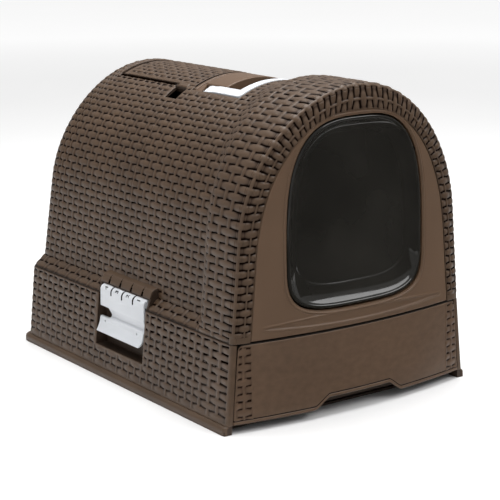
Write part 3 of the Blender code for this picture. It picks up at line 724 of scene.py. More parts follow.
@dataclass(frozen=True)
class CharcoalFelt:
    """Carbon-filled felt of the odour filter."""

    name: str

    def build(self) -> bpy.types.Material:
        """Dark fibrous cloth with grey fibres."""
        made = NodeBuilder(self.name)
        made.set(Sheen_Weight=0.35, Sheen_Roughness=0.5)
        fibre = made.noise(520.0, 6.0, (1.0, 0.35, 1.0))
        tones = ((0.35, (0.012, 0.012, 0.013)), (0.6, (0.03, 0.03, 0.032)), (0.8, (0.10, 0.10, 0.10)))
        made.link(made.ramp(fibre, *tones), "Base Color")
        made.link(made.span(fibre, 0.85, 0.98), "Roughness")
        made.bump((fibre, 0.8, 0.0006))
        return made.material


@dataclass
class Finishes:
    """Every finish of the box, built once."""

    hood: bpy.types.Material = field(init=False)
    panel: bpy.types.Material = field(init=False)
    drawer: bpy.types.Material = field(init=False)
    shadow: bpy.types.Material = field(init=False)
    tray: bpy.types.Material = field(init=False)
    inner: bpy.types.Material = field(init=False)
    white: bpy.types.Material = field(init=False)
    print_black: bpy.types.Material = field(init=False)
    smoke: bpy.types.Material = field(init=False)
    steel: bpy.types.Material = field(init=False)
    felt: bpy.types.Material = field(init=False)

    def __post_init__(self) -> None:
        """Build the materials."""
        brown, pale_brown = (0.084, 0.051, 0.030), (0.104, 0.061, 0.035)
        self.hood = MouldedPlastic("woven_brown", brown, 0.42, 0.25, 0.08, woven=True).build()
        self.panel = MouldedPlastic("smooth_brown", pale_brown, 0.44, 0.22).build()
        self.drawer = MouldedPlastic("drawer_brown", pale_brown, 0.44, 0.22, woven=True).build()
        # Painted shadow: near-black brown for faces that show only in gaps and slits, where shade falls.
        self.shadow = MouldedPlastic("edge_brown", (0.010, 0.007, 0.005), 0.6, 0.2).build()
        self.tray = MouldedPlastic("tray_brown", (0.050, 0.030, 0.018), 0.5, 0.2).build()
        self.inner = MouldedPlastic("inner_brown", (0.040, 0.024, 0.015), 0.58, 0.3).build()
        self.white = SatinWhite("satin_white").build()
        self.print_black = MouldedPlastic("digit_ink", (0.02, 0.02, 0.022), 0.55, 0.1).build()
        self.smoke = SmokedPlastic("smoked_gloss").build()
        self.steel = BrushedPin("drawn_steel").build()
        self.felt = CharcoalFelt("charcoal_felt").build()


def dress(target: Piece, finish: bpy.types.Material, body: str, slot: str, *nodes: str) -> None:
    """Give a piece its finish and body, and hide the nodes that it stands for."""
    target.data.materials.clear()
    target.data.materials.append(finish)
    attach(target, body)
    if nodes:
        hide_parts(*nodes)
    LOG.info("%s: %d faces on %s", target.name, len(target.data.polygons), body)


# ------------------------------------------------------------------ hood
@dataclass
class Hood:
    """Woven hood: sides, roof, rear wall, collar edge, front band and latch pads."""

    finishes: Finishes
    cuts_per_column: int = 10
    cuts_per_row: int = 7
    pan: tuple[float, float, float, float] = (-0.063, 0.063, -0.0915, 0.0112)
    hatch: tuple[float, float, float, float] = (-0.0570, 0.0570, 0.0094, 0.1925)
    finger: tuple[float, float, float, float] = (-0.0810, -0.0630, 0.022, 0.047)
    tab: tuple[float, float, float, float] = (-0.0635, -0.0560, 0.0252, 0.0508)
    pad_front: float = -0.0537
    pad_rear: float = 0.0647
    pad_row: float = 1.3
    groove: float = 0.0612
    corner_columns: float = 0.62
    rim: float = 0.0026
    strip_row: float = -0.9

    def openings(self) -> list[tuple[float, float, float, float]]:
        """Rectangles of the roof that are open, as (x0, x1, y0, y1)."""
        return [self.pan, self.hatch, self.finger, self.tab]

    def row_at(self, x: float) -> float:
        """Row number of the roof at x."""
        z = float(FORM.roof_z(np.array(x)))
        turn = math.acos(min(1.0, abs(x) / float(FORM.drafted(FORM.body_foot, z))))
        side = FORM.side_rows + FORM.arch_rows * turn / (math.pi / 2)
        return side if x < 0 else 2 * FORM.crown_row - side

    def relief(self, points: Grid, column: Grid, row: Grid) -> Grid:
        """Weave with smooth rims round the roof's openings."""
        height = WEAVE.relief(column, row, (1 - FORM.fan_columns, 1000.0))
        gap = np.full(column.shape, 1.0)
        roof = points[..., 2] > FORM.spring
        for box in self.openings():
            gap = np.minimum(gap, rectangle_gap(points[..., 0], points[..., 1], box))
        rim = (1 - soft_step(gap, self.rim, self.rim + 0.0009)) * roof
        height = blended(height, 1.1 * MILLIMETRE, rim)
        height = height - 0.35 * MILLIMETRE * (1 - soft_step(gap, -0.0001, 0.0008)) * roof
        across, along = np.abs(points[..., 0]), points[..., 1]
        # The channel beside the hatch sinks to pit height, where the woven finish paints it dark as shade.
        channel = soft_step(along, 0.0510, 0.0525) * (1 - soft_step(along, 0.1885, 0.1900)) * roof
        channel = channel * (1 - soft_step(across, self.groove, self.groove + 0.0008))
        height = blended(height, WEAVE.pit, channel)
        seam = 1 - soft_step(np.abs(points[..., 2] - FORM.seam), 0.0006, 0.0016)
        return blended(height, 0.55 * MILLIMETRE, seam * (row < FORM.crown_row * 2 + 3))

    def wall(self, name: str, columns: tuple[float, float], rows: tuple[float, float]) -> None:
        """One piece of the woven wall between two columns and two rows."""
        column_stops = [FORM.fan_rear]
        for box in self.openings():
            column_stops += [(y - FORM.fan_rear) / FORM.column_pitch for y in box[2:]]
        column_stops += [(y - FORM.fan_rear) / FORM.column_pitch for y in (self.pad_front, self.pad_rear)]
        row_stops = [self.row_at(x) for box in self.openings() for x in box[:2]]
        row_stops += [self.pad_row, 2 * FORM.crown_row - self.pad_row]
        lines = np.linspace(*columns, int((columns[1] - columns[0]) * self.cuts_per_column) + 1)
        lines = snapped(lines, [s for s in column_stops if columns[0] < s < columns[1]])
        levels = np.linspace(*rows, int((rows[1] - rows[0]) * self.cuts_per_row) + 1)
        levels = snapped(levels, [s for s in row_stops if rows[0] < s < rows[1]])
        column, row = np.meshgrid(widened(lines), widened(levels), indexing="ij")
        points = FORM.hood_wall(column, row)
        height = self.relief(points, column, row)
        cell_c, cell_r = cell_middles(lines, levels)
        centre = FORM.hood_wall(cell_c, cell_r)
        keep = np.ones(cell_c.shape, bool)
        for box in self.openings():
            inside = rectangle_gap(centre[..., 0], centre[..., 1], box) < 0
            keep &= ~(inside & (centre[..., 2] > FORM.spring))
        side = FORM.crown_row - np.abs(cell_r - FORM.crown_row)
        beside = (centre[..., 1] > self.pad_front) & (centre[..., 1] < self.pad_rear)
        keep &= ~((side < self.pad_row) & beside)
        made = skin(name, points, height, keep, margin=1)
        dress(made, self.finishes.hood, "housing", "hood_plastic")

    def walls(self) -> None:
        """All the woven pieces over sides and roof."""
        first, last = -FORM.fan_columns, FORM.last_column
        low, crown = -FORM.shoulder_rows, FORM.crown_row
        top = 2 * crown + FORM.shoulder_rows
        shoulder = FORM.side_rows
        middle = 14.0
        self.wall("hood_side_left", (first, last), (low, shoulder))
        self.wall("roof_left_front", (first, middle), (shoulder, crown))
        self.wall("roof_left_rear", (middle, last), (shoulder, crown))
        self.wall("roof_right_front", (first, middle), (crown, 2 * crown - shoulder))
        self.wall("roof_right_rear", (middle, last), (crown, 2 * crown - shoulder))
        self.wall("hood_side_right", (first, last), (2 * crown - shoulder, top))

    def rear_wall(self) -> None:
        """Woven rear wall with a smooth border."""
        half_rows = np.linspace(-FORM.shoulder_rows, FORM.crown_row - 0.4, 260)
        share = np.linspace(-1, 1, 245)
        row, across = np.meshgrid(half_rows, share, indexing="ij")
        edge, z = FORM.body_arch(row, FORM.rear_round)
        x = np.abs(edge) * across
        points = np.stack([x, FORM.rear_y(z), z], axis=-1)
        height = WEAVE.relief(x / FORM.column_pitch, (z - FORM.shoulder_top) / FORM.row_pitch)
        radius = np.hypot(x / np.maximum(FORM.drafted(FORM.body_foot - FORM.rear_round, z), 0.01),
                          np.maximum(z - FORM.spring, 0) / (FORM.body_crown - FORM.rear_round - FORM.spring))
        border = (1 - radius) * FORM.body_foot
        smooth = 1 - soft_step(border, 0.004, 0.005)
        low = 1 - soft_step(z - FORM.seam, 0.003, 0.004)
        height = blended(height, SMOOTH, np.maximum(smooth, low))
        made = skin("hood_rear_wall", points, height)
        dress(made, self.finishes.hood, "housing", "hood_plastic")

    def panel_edge(self, row: Grid) -> tuple[Grid, Grid]:
        """Outline x, z of the smooth front panel at the arch's rows."""
        foot, crown, spring, power = 0.1648, 0.3664, 0.200, 2.35
        side = FORM.crown_row - np.abs(row - FORM.crown_row)
        _, upright = FORM.arch(FORM.collar_foot, FORM.collar_crown, row)
        start = math.asin(((FORM.spring - spring) / (crown - spring)) ** (power / 2))
        turn = start + (math.pi / 2 - start) * FORM.turn(row) / (math.pi / 2)
        arched = spring + (crown - spring) * np.sin(turn) ** (2 / power)
        z = np.where(side <= FORM.side_rows, upright, arched)
        rise = np.clip((z - spring) / (crown - spring), 0, 1)
        reach = np.clip(1 - rise**power, 0, 1) ** (1 / power)
        return np.sign(row - FORM.crown_row) * reach * FORM.drafted(foot, z), z

    def front_band(self) -> None:
        """Woven band between the front panel and the collar's edge."""
        for name, rows in (("front_band_left", (-FORM.shoulder_rows, FORM.crown_row)),
                           ("front_band_right", (FORM.crown_row, 2 * FORM.crown_row + FORM.shoulder_rows))):
            levels = np.linspace(*rows, int((rows[1] - rows[0]) * 8) + 1)
            across, row = np.meshgrid(np.linspace(0, 1, 25), levels, indexing="ij")
            inner_x, inner_z = self.panel_edge(row)
            outer_x, outer_z = FORM.arch(FORM.collar_foot - FORM.collar_round,
                                         FORM.collar_crown - FORM.collar_round, row)
            x = inner_x + (outer_x - inner_x) * across
            z = inner_z + (outer_z - inner_z) * across
            points = np.stack([x, FORM.front_y(x, z), z], axis=-1)
            relief = WEAVE.relief(2 * across - 1, row, (0.0, 0.0), -1.0)
            side = FORM.crown_row - np.abs(row - FORM.crown_row)
            strip = 1 - soft_step(side, self.strip_row - 0.1, self.strip_row + 0.1)
            lip = 1 - soft_step(across, 0.02, 0.06)
            relief = blended(relief, SMOOTH, np.maximum(strip, lip))
            height = 1.15 * relief + 0.7 * MILLIMETRE * (1 - (2 * across - 1) ** 2)
            made = skin(name, points, height, relief=relief)
            dress(made, self.finishes.hood, "housing", "hood_plastic")

    def collar_edge(self) -> None:
        """Rounded front corner of the collar, a stake with the strands bending over it."""
        crown, top = FORM.crown_row, 2 * FORM.crown_row + FORM.shoulder_rows
        for side, rows in ((Side.LEFT, (-FORM.shoulder_rows, crown)), (Side.RIGHT, (crown, top))):
            levels = np.linspace(*rows, int((rows[1] - rows[0]) * 8) + 1)
            angle, row = np.meshgrid(np.radians(np.linspace(0, 90, 13)), levels, indexing="ij")
            offset = FORM.collar_round * (1 - np.sin(angle))
            depth = FORM.collar_round * (1 - np.cos(angle))
            x, z = FORM.arch(FORM.collar_foot, FORM.collar_crown, row)
            down = crown - np.abs(row - crown)
            x = x - side.value * offset * np.cos(FORM.turn(row))
            z = z - offset * np.sin(FORM.turn(row)) * (down > 0)
            points = np.stack([x, FORM.front_y(x, z, depth), z], axis=-1)
            column = (angle / (math.pi / 2) - 0.5) * self.corner_columns - FORM.fan_columns
            height = WEAVE.relief(column, row, (-FORM.fan_columns, -FORM.fan_columns))
            strip = 1 - soft_step(down, self.strip_row - 0.1, self.strip_row + 0.1)
            height = blended(height, SMOOTH, strip)
            made = skin("collar_edge_" + side.word, points, height)
            dress(made, self.finishes.hood, "housing", "hood_plastic")

    def latch_pads(self) -> None:
        """Smooth pads over the latches, each with four tapering tick grooves."""
        latch_low, latch_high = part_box("latch_left")
        width = latch_high.y - latch_low.y
        profile = [
            (-0.17215, 0.1213), (-0.17035, 0.1258), (-0.1693, 0.1283), (-0.1677, 0.1303),
            (-0.1653, 0.1315), (-0.1613, 0.1326), (-0.1575, 0.1334),
        ]
        for side in Side:
            along = np.linspace(self.pad_front + 0.0006, self.pad_rear - 0.0006, 150)
            share = np.linspace(0, 1, 30)
            knots = np.linspace(0, 1, len(profile))
            x = np.interp(share, knots, [p[0] for p in profile]) * -side.value
            z = np.interp(share, knots, [p[1] for p in profile])
            y, up = np.meshgrid(along, share, indexing="ij")
            points = np.stack([np.broadcast_to(x, y.shape), y, np.broadcast_to(z, y.shape)], axis=-1)
            height = np.full(y.shape, SMOOTH)
            ends = np.minimum(y - along[0], along[-1] - y)
            height = height - 0.45 * MILLIMETRE * (1 - soft_step(ends, 0.0, 0.0010))
            height = height - 0.35 * MILLIMETRE * (1 - soft_step(up, 0.0, 0.08))
            # Groove floors sit at pit height, so the woven finish paints them dark as shade.
            for finger in range(4):
                centre = latch_low.y + width * (finger + 0.5) / 4
                groove = 0.0023 * (1 - up / 0.62)
                low, high = np.maximum(groove - 0.0003, 0), np.maximum(groove + 0.0003, 0.0004)
                inside = 1 - soft_step(np.abs(y - centre), low, high)
                height = blended(height, 0.02 * MILLIMETRE, inside * (up < 0.62))
            made = skin("latch_pad_" + side.word, points, height)
            dress(made, self.finishes.hood, "housing", "hood_plastic")

    def build(self) -> None:
        """Build and dress the whole hood."""
        self.walls()
        self.rear_wall()
        self.front_band()
        self.collar_edge()
        self.latch_pads()


# ------------------------------------------------------------------ base housing
@dataclass
class Base:
    """Woven walls of the base with smooth corner beads, foot rim and pocket rims."""

    finishes: Finishes
    low: float = 0.0108
    high: float = 0.1070
    weave_from: float = 0.0135
    corner: float = 0.003
    post: float = 0.0066
    pocket: tuple[float, float, float, float] = (-0.051, 0.062, 0.039, 0.12)
    rim: float = 0.0024

    def rear(self, z: Grid) -> Grid:
        """Rear wall of the base at height z."""
        return FORM.base_rear + (FORM.rear - FORM.base_rear) * np.clip(z / FORM.seam, 0, 1)

    def outline(self, column: Grid, z: Grid) -> Grid:
        """Points along the left half of the base's outline.

        Args:
            column: column numbers from the front post round to the middle of the rear.
            z: heights.

        Returns:
            Points with one more axis, for x, y and z.
        """
        half = FORM.drafted(FORM.collar_foot, z)
        front = FORM.front_corner + FORM.front_lean * z
        turn_y = self.rear(z) - FORM.rear_round
        bead = FORM.fan_columns
        angle = np.clip(-column - bead, 0, 1) * math.pi / 2
        x = -half + self.corner * (1 - np.cos(angle))
        fanned = (front + self.corner - FORM.fan_rear) * np.minimum(-column / bead, 1)
        straight = np.minimum(FORM.fan_rear + FORM.column_pitch * column, turn_y)
        y = np.where(column < 0, FORM.fan_rear + fanned, straight)
        y = y - self.corner * np.sin(angle)
        past = np.clip(-column - bead - 1, 0, 1)
        x = x + past * (self.post - self.corner)
        turn_column = (turn_y - FORM.fan_rear) / FORM.column_pitch
        arc = np.clip((column - turn_column) * FORM.column_pitch / FORM.rear_round, 0, math.pi / 2)
        x = x + FORM.rear_round * (1 - np.cos(arc))
        y = y + FORM.rear_round * np.sin(arc)
        beyond = (column - turn_column) * FORM.column_pitch - FORM.rear_round * math.pi / 2
        x = x + np.maximum(beyond, 0)
        return np.stack(np.broadcast_arrays(x, y, z), axis=-1)

    def wall(self, side: Side, name: str, columns: tuple[float, float], pocket: bool) -> None:
        """One woven piece of the base's wall on a side."""
        lines = np.linspace(*columns, int((columns[1] - columns[0]) * 10) + 1)
        levels = np.linspace(self.low, self.high, 76)
        y0, y1, z0, _ = self.pocket
        if pocket:
            lines = snapped(lines, [(y - FORM.fan_rear) / FORM.column_pitch for y in (y0, y1)])
            levels = snapped(levels, [z0])
        column, z = np.meshgrid(lines, levels, indexing="ij")
        points = self.outline(column, z)
        row = (z - FORM.shoulder_top) / FORM.row_pitch
        height = WEAVE.relief(column, row, (1 - FORM.fan_columns, 1000.0))
        smooth = 1 - soft_step(z, self.weave_from - 0.0005, self.weave_from + 0.0005)
        smooth = np.maximum(smooth, 1 - soft_step(column, 0.02 - FORM.fan_columns, 0.10 - FORM.fan_columns))
        smooth = np.maximum(smooth, soft_step(z, self.high - 0.0016, self.high - 0.0008))
        if pocket:
            gap = rectangle_gap(points[..., 1], z, self.pocket)
            smooth = np.maximum(smooth, 1 - soft_step(gap, self.rim, self.rim + 0.0008))
        height = blended(height, SMOOTH, smooth)
        height = height - 0.4 * MILLIMETRE * soft_step(z, self.high - 0.0008, self.high)
        keep = np.ones((len(lines) - 1, len(levels) - 1), bool)
        if pocket:
            mid_c, mid_z = cell_middles(lines, levels)
            middle = self.outline(mid_c, mid_z)
            keep = rectangle_gap(middle[..., 1], mid_z, self.pocket) > 0
        points[..., 0] *= -side.value
        made = skin(name, points, height, keep)
        dress(made, self.finishes.hood, "housing", "hood_plastic")

    def foot_rim(self) -> None:
        """Flared smooth rim that the box stands on."""
        _, foot_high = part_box("base_housing")
        profile = [
            (0.0004, 0.0), (0.0060, 0.0), (0.0078, 0.0004),
            (0.0090, 0.0016), (0.0098, 0.0034), (0.0109, 0.0052),
        ]
        rings = []
        for z, draw in profile:
            ring = []
            for cx, cy, start, radius in self.foot_corners(foot_high.x - draw, foot_high.y - draw):
                for step in range(13):
                    turn = math.radians(start + 90 * step / 12)
                    ring.append((cx + radius * math.cos(turn), cy + radius * math.sin(turn), z))
            rings.append(ring)
        points = np.array(rings)
        closed = np.concatenate([points, points[:, :1]], axis=1)
        rim = self.densified(closed)
        height, relief = np.full(rim.shape[:2], 0.5 * MILLIMETRE), np.full(rim.shape[:2], SMOOTH)
        made = skin("foot_rim", rim, height, sink=0.8 * MILLIMETRE, relief=relief)
        dress(made, self.finishes.hood, "housing", "hood_plastic")

    def foot_corners(self, half: float, rear: float) -> list[tuple[float, float, float, float]]:
        """Centres, start angles and radii of the rim's corners, from front right round."""
        front, round_front, round_rear = FORM.front_corner, 0.004, 0.016
        return [
            (half - round_front, front + round_front, -90.0, round_front),
            (half - round_rear, rear - round_rear, 0.0, round_rear),
            (-half + round_rear, rear - round_rear, 90.0, round_rear),
            (-half + round_front, front + round_front, 180.0, round_front),
        ]

    def densified(self, rings: Grid, gap: float = 0.02) -> Grid:
        """Rings with extra points on their long straight runs; the run across the front is dropped."""
        columns = []
        for i in range(rings.shape[1] - 2):
            start, end = rings[:, i], rings[:, i + 1]
            steps = max(1, int(np.linalg.norm(end[0] - start[0]) / gap))
            columns += [start + (end - start) * k / steps for k in range(steps)]
        columns.append(rings[:, -2])
        return np.stack(columns, axis=1)

    def build(self) -> None:
        """Build and dress the base's skins on both sides."""
        middle = (self.rear(0.06) - FORM.rear_round - FORM.fan_rear) / FORM.column_pitch
        for side in Side:
            self.wall(side, "base_side_" + side.word, (-FORM.fan_columns - 2, middle), True)
            quarter = FORM.rear_round * math.pi / 2 / FORM.column_pitch
            flat = FORM.drafted(FORM.collar_foot, 0.06) - FORM.rear_round
            last = middle + quarter + flat / FORM.column_pitch
            self.wall(side, "base_rear_" + side.word, (middle, last), False)
        self.foot_rim()


# ------------------------------------------------------------------ door outlines
@dataclass(frozen=True)
class Oval:
    """Upright oval of two half superellipses that meet at height middle."""

    half: float
    top: float
    bottom: float
    middle: float
    upper_power: float
    lower_power: float

    def outline(self, grow: float, steps: int = 192) -> Outline:
        """Closed outline (x, z), grown by an amount."""
        points = []
        for i in range(steps):
            angle = 2 * math.pi * i / steps
            c, s = math.cos(angle), math.sin(angle)
            power = self.upper_power if s > 0 else self.lower_power
            height = self.top + grow - self.middle if s > 0 else self.middle - (self.bottom - grow)
            x = (self.half + grow) * math.copysign(abs(c) ** (2 / power), c)
            points.append((x, self.middle + height * math.copysign(abs(s) ** (2 / power), s)))
        return points


DOOR_EDGE = Oval(0.104, 0.359, 0.133, 0.200, 3.05, 4.0)
DOOR_DISH = Oval(0.084, 0.341, 0.160, 0.205, 3.0, 3.5)


# ------------------------------------------------------------------ front panel
@dataclass
class FrontPanel:
    """Smooth face of the front panel with its crescent sill."""

    finishes: Finishes
    hood: Hood
    centre_z: float = 0.235
    crescent_half: float = 0.144
    crescent_z: float = 0.1205
    crescent_rise: float = 0.0068
    bottom: float = 0.1084
    arch_points: int = 500

    def outer_outline(self) -> Grid:
        """Closed outline (x, z) of the panel's face, counter-clockwise from the right foot."""
        top = 2 * FORM.crown_row + FORM.shoulder_rows
        row = np.linspace(-FORM.shoulder_rows, top, self.arch_points)[::-1]
        x, z = self.hood.panel_edge(row)
        inset = 0.0010
        x = x * (1 - inset / 0.15)
        z = np.maximum(z - inset * (z > FORM.spring), self.bottom + 0.0004)
        foot = np.linspace(x[-1], x[0], 160)[1:-1]
        return np.concatenate([np.stack([x, z], 1), np.stack([foot, np.full(foot.shape, z[-1])], 1)])

    def radii(self, outline: Grid, angles: Grid) -> Grid:
        """Distance of a closed outline from the panel's middle at angles."""
        turn = np.arctan2(outline[:, 1] - self.centre_z, outline[:, 0])
        reach = np.hypot(outline[:, 0], outline[:, 1] - self.centre_z)
        order = np.argsort(turn)
        return np.interp(angles, turn[order], reach[order], period=2 * math.pi)

    def crescent(self, x: Grid, z: Grid) -> Grid:
        """Relief of the sill: a shallow hollow between two fine raised lines."""
        taper = np.clip(1 - (np.abs(x) / self.crescent_half) ** 2, 0, 1) ** 0.8
        reach = np.maximum(self.crescent_rise * taper, 0.00001)
        away = (z - self.crescent_z - 0.0005) / reach
        gap = (np.abs(away) - 1) * reach
        inside = (np.abs(x) < self.crescent_half) * soft_step(taper, 0.02, 0.2)
        ridge = np.exp(-((gap / 0.0012) ** 2)) * inside * 1.05 * MILLIMETRE
        hollow = np.clip(1 - away**2, 0, 1) * inside * 0.70 * MILLIMETRE
        return ridge - hollow

    def build(self) -> None:
        """Build and dress the panel's face."""
        outer = self.outer_outline()
        corners = outer[[0, self.arch_points - 1]]
        angles = np.linspace(-math.pi, math.pi, 721)
        angles = snapped(angles, np.arctan2(corners[:, 1] - self.centre_z, corners[:, 0]))
        door = np.array(DOOR_EDGE.outline(0.0030, 400))
        near = np.array([0, 0.4, 0.8, 1.3, 1.8, 2.3, 2.8, 3.2, 3.6, 4.0, 4.5]) * MILLIMETRE
        share = np.concatenate([np.linspace(0, 0.94, 44), [0.97, 0.985, 0.994, 1]])
        reach = np.concatenate([np.zeros(len(near)), share[1:]])
        angle, across = np.meshgrid(angles, reach, indexing="ij")
        inner_r, outer_r = self.radii(door, angle), self.radii(outer, angle)
        start = np.concatenate([near, np.full(len(share) - 1, near[-1])])
        radius = inner_r + start + (outer_r - inner_r - near[-1]) * across
        x, z = radius * np.cos(angle), self.centre_z + radius * np.sin(angle)
        points = np.stack([x, FORM.front_y(x, z), z], axis=-1)
        away = radius - inner_r
        edge = np.minimum(away, outer_r - radius)
        height = 0.9 * MILLIMETRE - 0.6 * MILLIMETRE * (1 - soft_step(edge, 0.0, 0.0012))
        height = height + 0.70 * MILLIMETRE * np.exp(-(((away - 0.0018) / 0.0010) ** 2))
        height = height - 0.50 * MILLIMETRE * np.exp(-(((away - 0.0036) / 0.0005) ** 2))
        height = height + self.crescent(x, z)
        made = skin("front_panel_face", points, height, closed=True)
        dress(made, self.finishes.panel, "housing", "panel_plastic")


# ------------------------------------------------------------------ swing door
@dataclass
class Door:
    """Smoked swing door: rolled rim, sloping chamfer and dished middle."""

    finishes: Finishes
    dish_depth: float = 0.0125
    middle_z: float = 0.245

    def ring(self, outline: Outline, depth: float, share: float = 1.0) -> list[tuple[float, float, float]]:
        """Ring of points behind the bowed front, drawn in towards the door's middle."""
        ring = []
        for x, z in outline:
            px, pz = x * share, self.middle_z + (z - self.middle_z) * share
            ring.append((px, float(FORM.front_y(px, pz, depth)), pz))
        return ring

    def build(self) -> None:
        """Build and dress the door with its pivots."""
        deep = self.dish_depth
        dish, edge = DOOR_DISH.outline, DOOR_EDGE.outline
        rings = [self.ring(dish(0.0), deep, share) for share in (0.12, 0.35, 0.6, 0.85, 0.97)]
        for grow, rise in ((-0.0012, 0.0), (-0.0004, 0.0001), (0.0006, 0.0005)):
            rings.append(self.ring(dish(grow), deep - rise))
        foot, brow = dish(0.0016), edge(-0.0052)
        for i in range(13):
            share = 1 - i / 12
            between = [(bx + (fx - bx) * share, bz + (fz - bz) * share)
                       for (fx, fz), (bx, bz) in zip(foot, brow)]
            fall = 1.65 * share - 0.65 * share**2
            rings.append(self.ring(between, 0.0022 + (deep - 0.0035) * fall))
        rim = (
            (-0.0046, 0.0012), (-0.0036, 0.0003), (-0.0024, -0.0002), (-0.0012, 0.0002), (-0.0003, 0.0012),
            (0.0, 0.0026), (-0.0002, 0.0048), (-0.0010, 0.0055), (-0.0020, 0.0055), (-0.0034, 0.0050),
        )
        rings += [self.ring(edge(grow), depth) for grow, depth in rim]
        rings += [self.ring(dish(0.0006), deep + 0.0014), self.ring(dish(-0.0006), deep + 0.0022)]
        rings += [self.ring(dish(0.0), deep + 0.0022, share) for share in (0.9, 0.6, 0.35, 0.12)]
        made = ring_solid("swing_door", rings)
        dress(made, self.finishes.smoke, "door", "smoked_plastic", "door_flap")
        _, axis_y, axis_z = joint_axis("door_swing")
        for side in Side:
            place = (side.value * 0.0960, axis_y, axis_z)
            stub = add_rod("door_pivot_stub_" + side.word, place, 0.0019, 0.006, "X")
            add_bevel(stub, 0.0003)
            finish_mesh(stub)
            dress(stub, self.finishes.smoke, "door", "smoked_plastic")
            face = float(FORM.front_y(np.array(0.0995), np.array(axis_z)))
            place = (side.value * 0.0985, face + 0.0006, axis_z)
            dot = add_rod("door_pivot_dot_" + side.word, place, 0.0020, 0.0022, "Y")
            add_bevel(dot, 0.0005)
            finish_mesh(dot)
            dress(dot, self.finishes.print_black, "door", "smoked_plastic")


# ------------------------------------------------------------------ drawer
@dataclass
class Drawer:
    """Smooth drawer front with a rolled lower bead, a finger notch and woven ends."""

    finishes: Finishes
    low: float = 0.011
    high: float = 0.1055
    edge: float = 0.0076
    notch_half: float = 0.068
    notch_inner: float = 0.048
    notch_top: float = 0.024
    strip_inner: float = 0.1530
    strip_pitch: float = 0.0115
    corner: float = 0.006
    mean_half: float = 0.1768

    def build(self) -> None:
        """Build and dress the drawer's face."""
        share = np.linspace(-1, 1, 361)
        ends = (self.notch_half, self.notch_inner)
        share = snapped(share, [s * v / self.mean_half for s in (-1, 1) for v in ends])
        low_up, high_up = np.linspace(0.012, 0.08, 14), np.linspace(0.095, 0.97, 62)
        up = np.concatenate([[0, 0.005], low_up, high_up, [0.98, 0.99, 0.996, 1]])
        across, rise = np.meshgrid(share, up, indexing="ij")
        half_low = FORM.drafted(FORM.collar_foot, self.low) - self.edge
        half_high = FORM.drafted(FORM.collar_foot, self.high) - self.edge
        base_x = across * half_low
        depth = np.abs(base_x)
        notch = np.clip((self.notch_half - depth) / (self.notch_half - self.notch_inner), 0, 1)
        notch = notch * notch * (3 - 2 * notch) * 0.35 + notch * 0.65
        bottom = self.low + (self.notch_top - self.low) * notch
        inside = np.clip((depth - (half_low - self.corner)) / self.corner, 0, 1)
        top = self.high - self.corner * (1 - np.sqrt(1 - inside**2))
        z = bottom + (top - bottom) * rise
        level = half_low + (half_high - half_low) * (z - self.low) / (self.high - self.low)
        x = base_x * level / half_low
        points = np.stack([x, FORM.front_y(x, z), z], axis=-1)
        height = np.full(x.shape, 0.9 * MILLIMETRE)
        row = (z - self.low) / FORM.row_pitch
        column = (np.abs(x) - self.strip_inner) / self.strip_pitch
        strip = soft_step(np.abs(x), self.strip_inner - 0.0004, self.strip_inner + 0.0004)
        woven = WEAVE.relief(column, row, front=-1.0)
        lip = (z > bottom + 0.0050) & (z < top - 0.0012) & (depth < half_low - 0.0016)
        relief = np.where(lip & (strip > 0.5), 0.35 * MILLIMETRE + 0.65 * woven, SMOOTH)
        height = np.where(lip, height + (0.35 * MILLIMETRE + 0.7 * woven - height) * strip, height)
        down = z - bottom
        bead = np.clip(1 - ((down - 0.0022) / 0.0022) ** 2, 0, 1) ** 0.5
        height = height + 0.75 * MILLIMETRE * bead
        groove = np.exp(-(((down - 0.0048) / 0.0007) ** 2))
        height = height - 0.5 * MILLIMETRE * groove
        # Painted shade: the groove's relief is lowered more than its height, so the finish draws it darker.
        relief = relief - 0.75 * SMOOTH * groove
        gap = np.minimum(np.minimum(down, top - z), half_low - depth)
        height = height - 0.6 * MILLIMETRE * (1 - soft_step(gap, 0.0, 0.0010))
        made = skin("drawer_face", points, height, relief=relief)
        dress(made, self.finishes.drawer, "drawer", "panel_plastic")


# ------------------------------------------------------------------ latches
def corner_arc(centre: tuple[float, float], radius: float, start: float, steps: int) -> Outline:
    """Quarter of a circle from an angle in degrees, counter-clockwise."""
    turns = [math.radians(start + 90 * i / steps) for i in range(steps + 1)]
    return [(centre[0] + radius * math.cos(turn), centre[1] + radius * math.sin(turn)) for turn in turns]


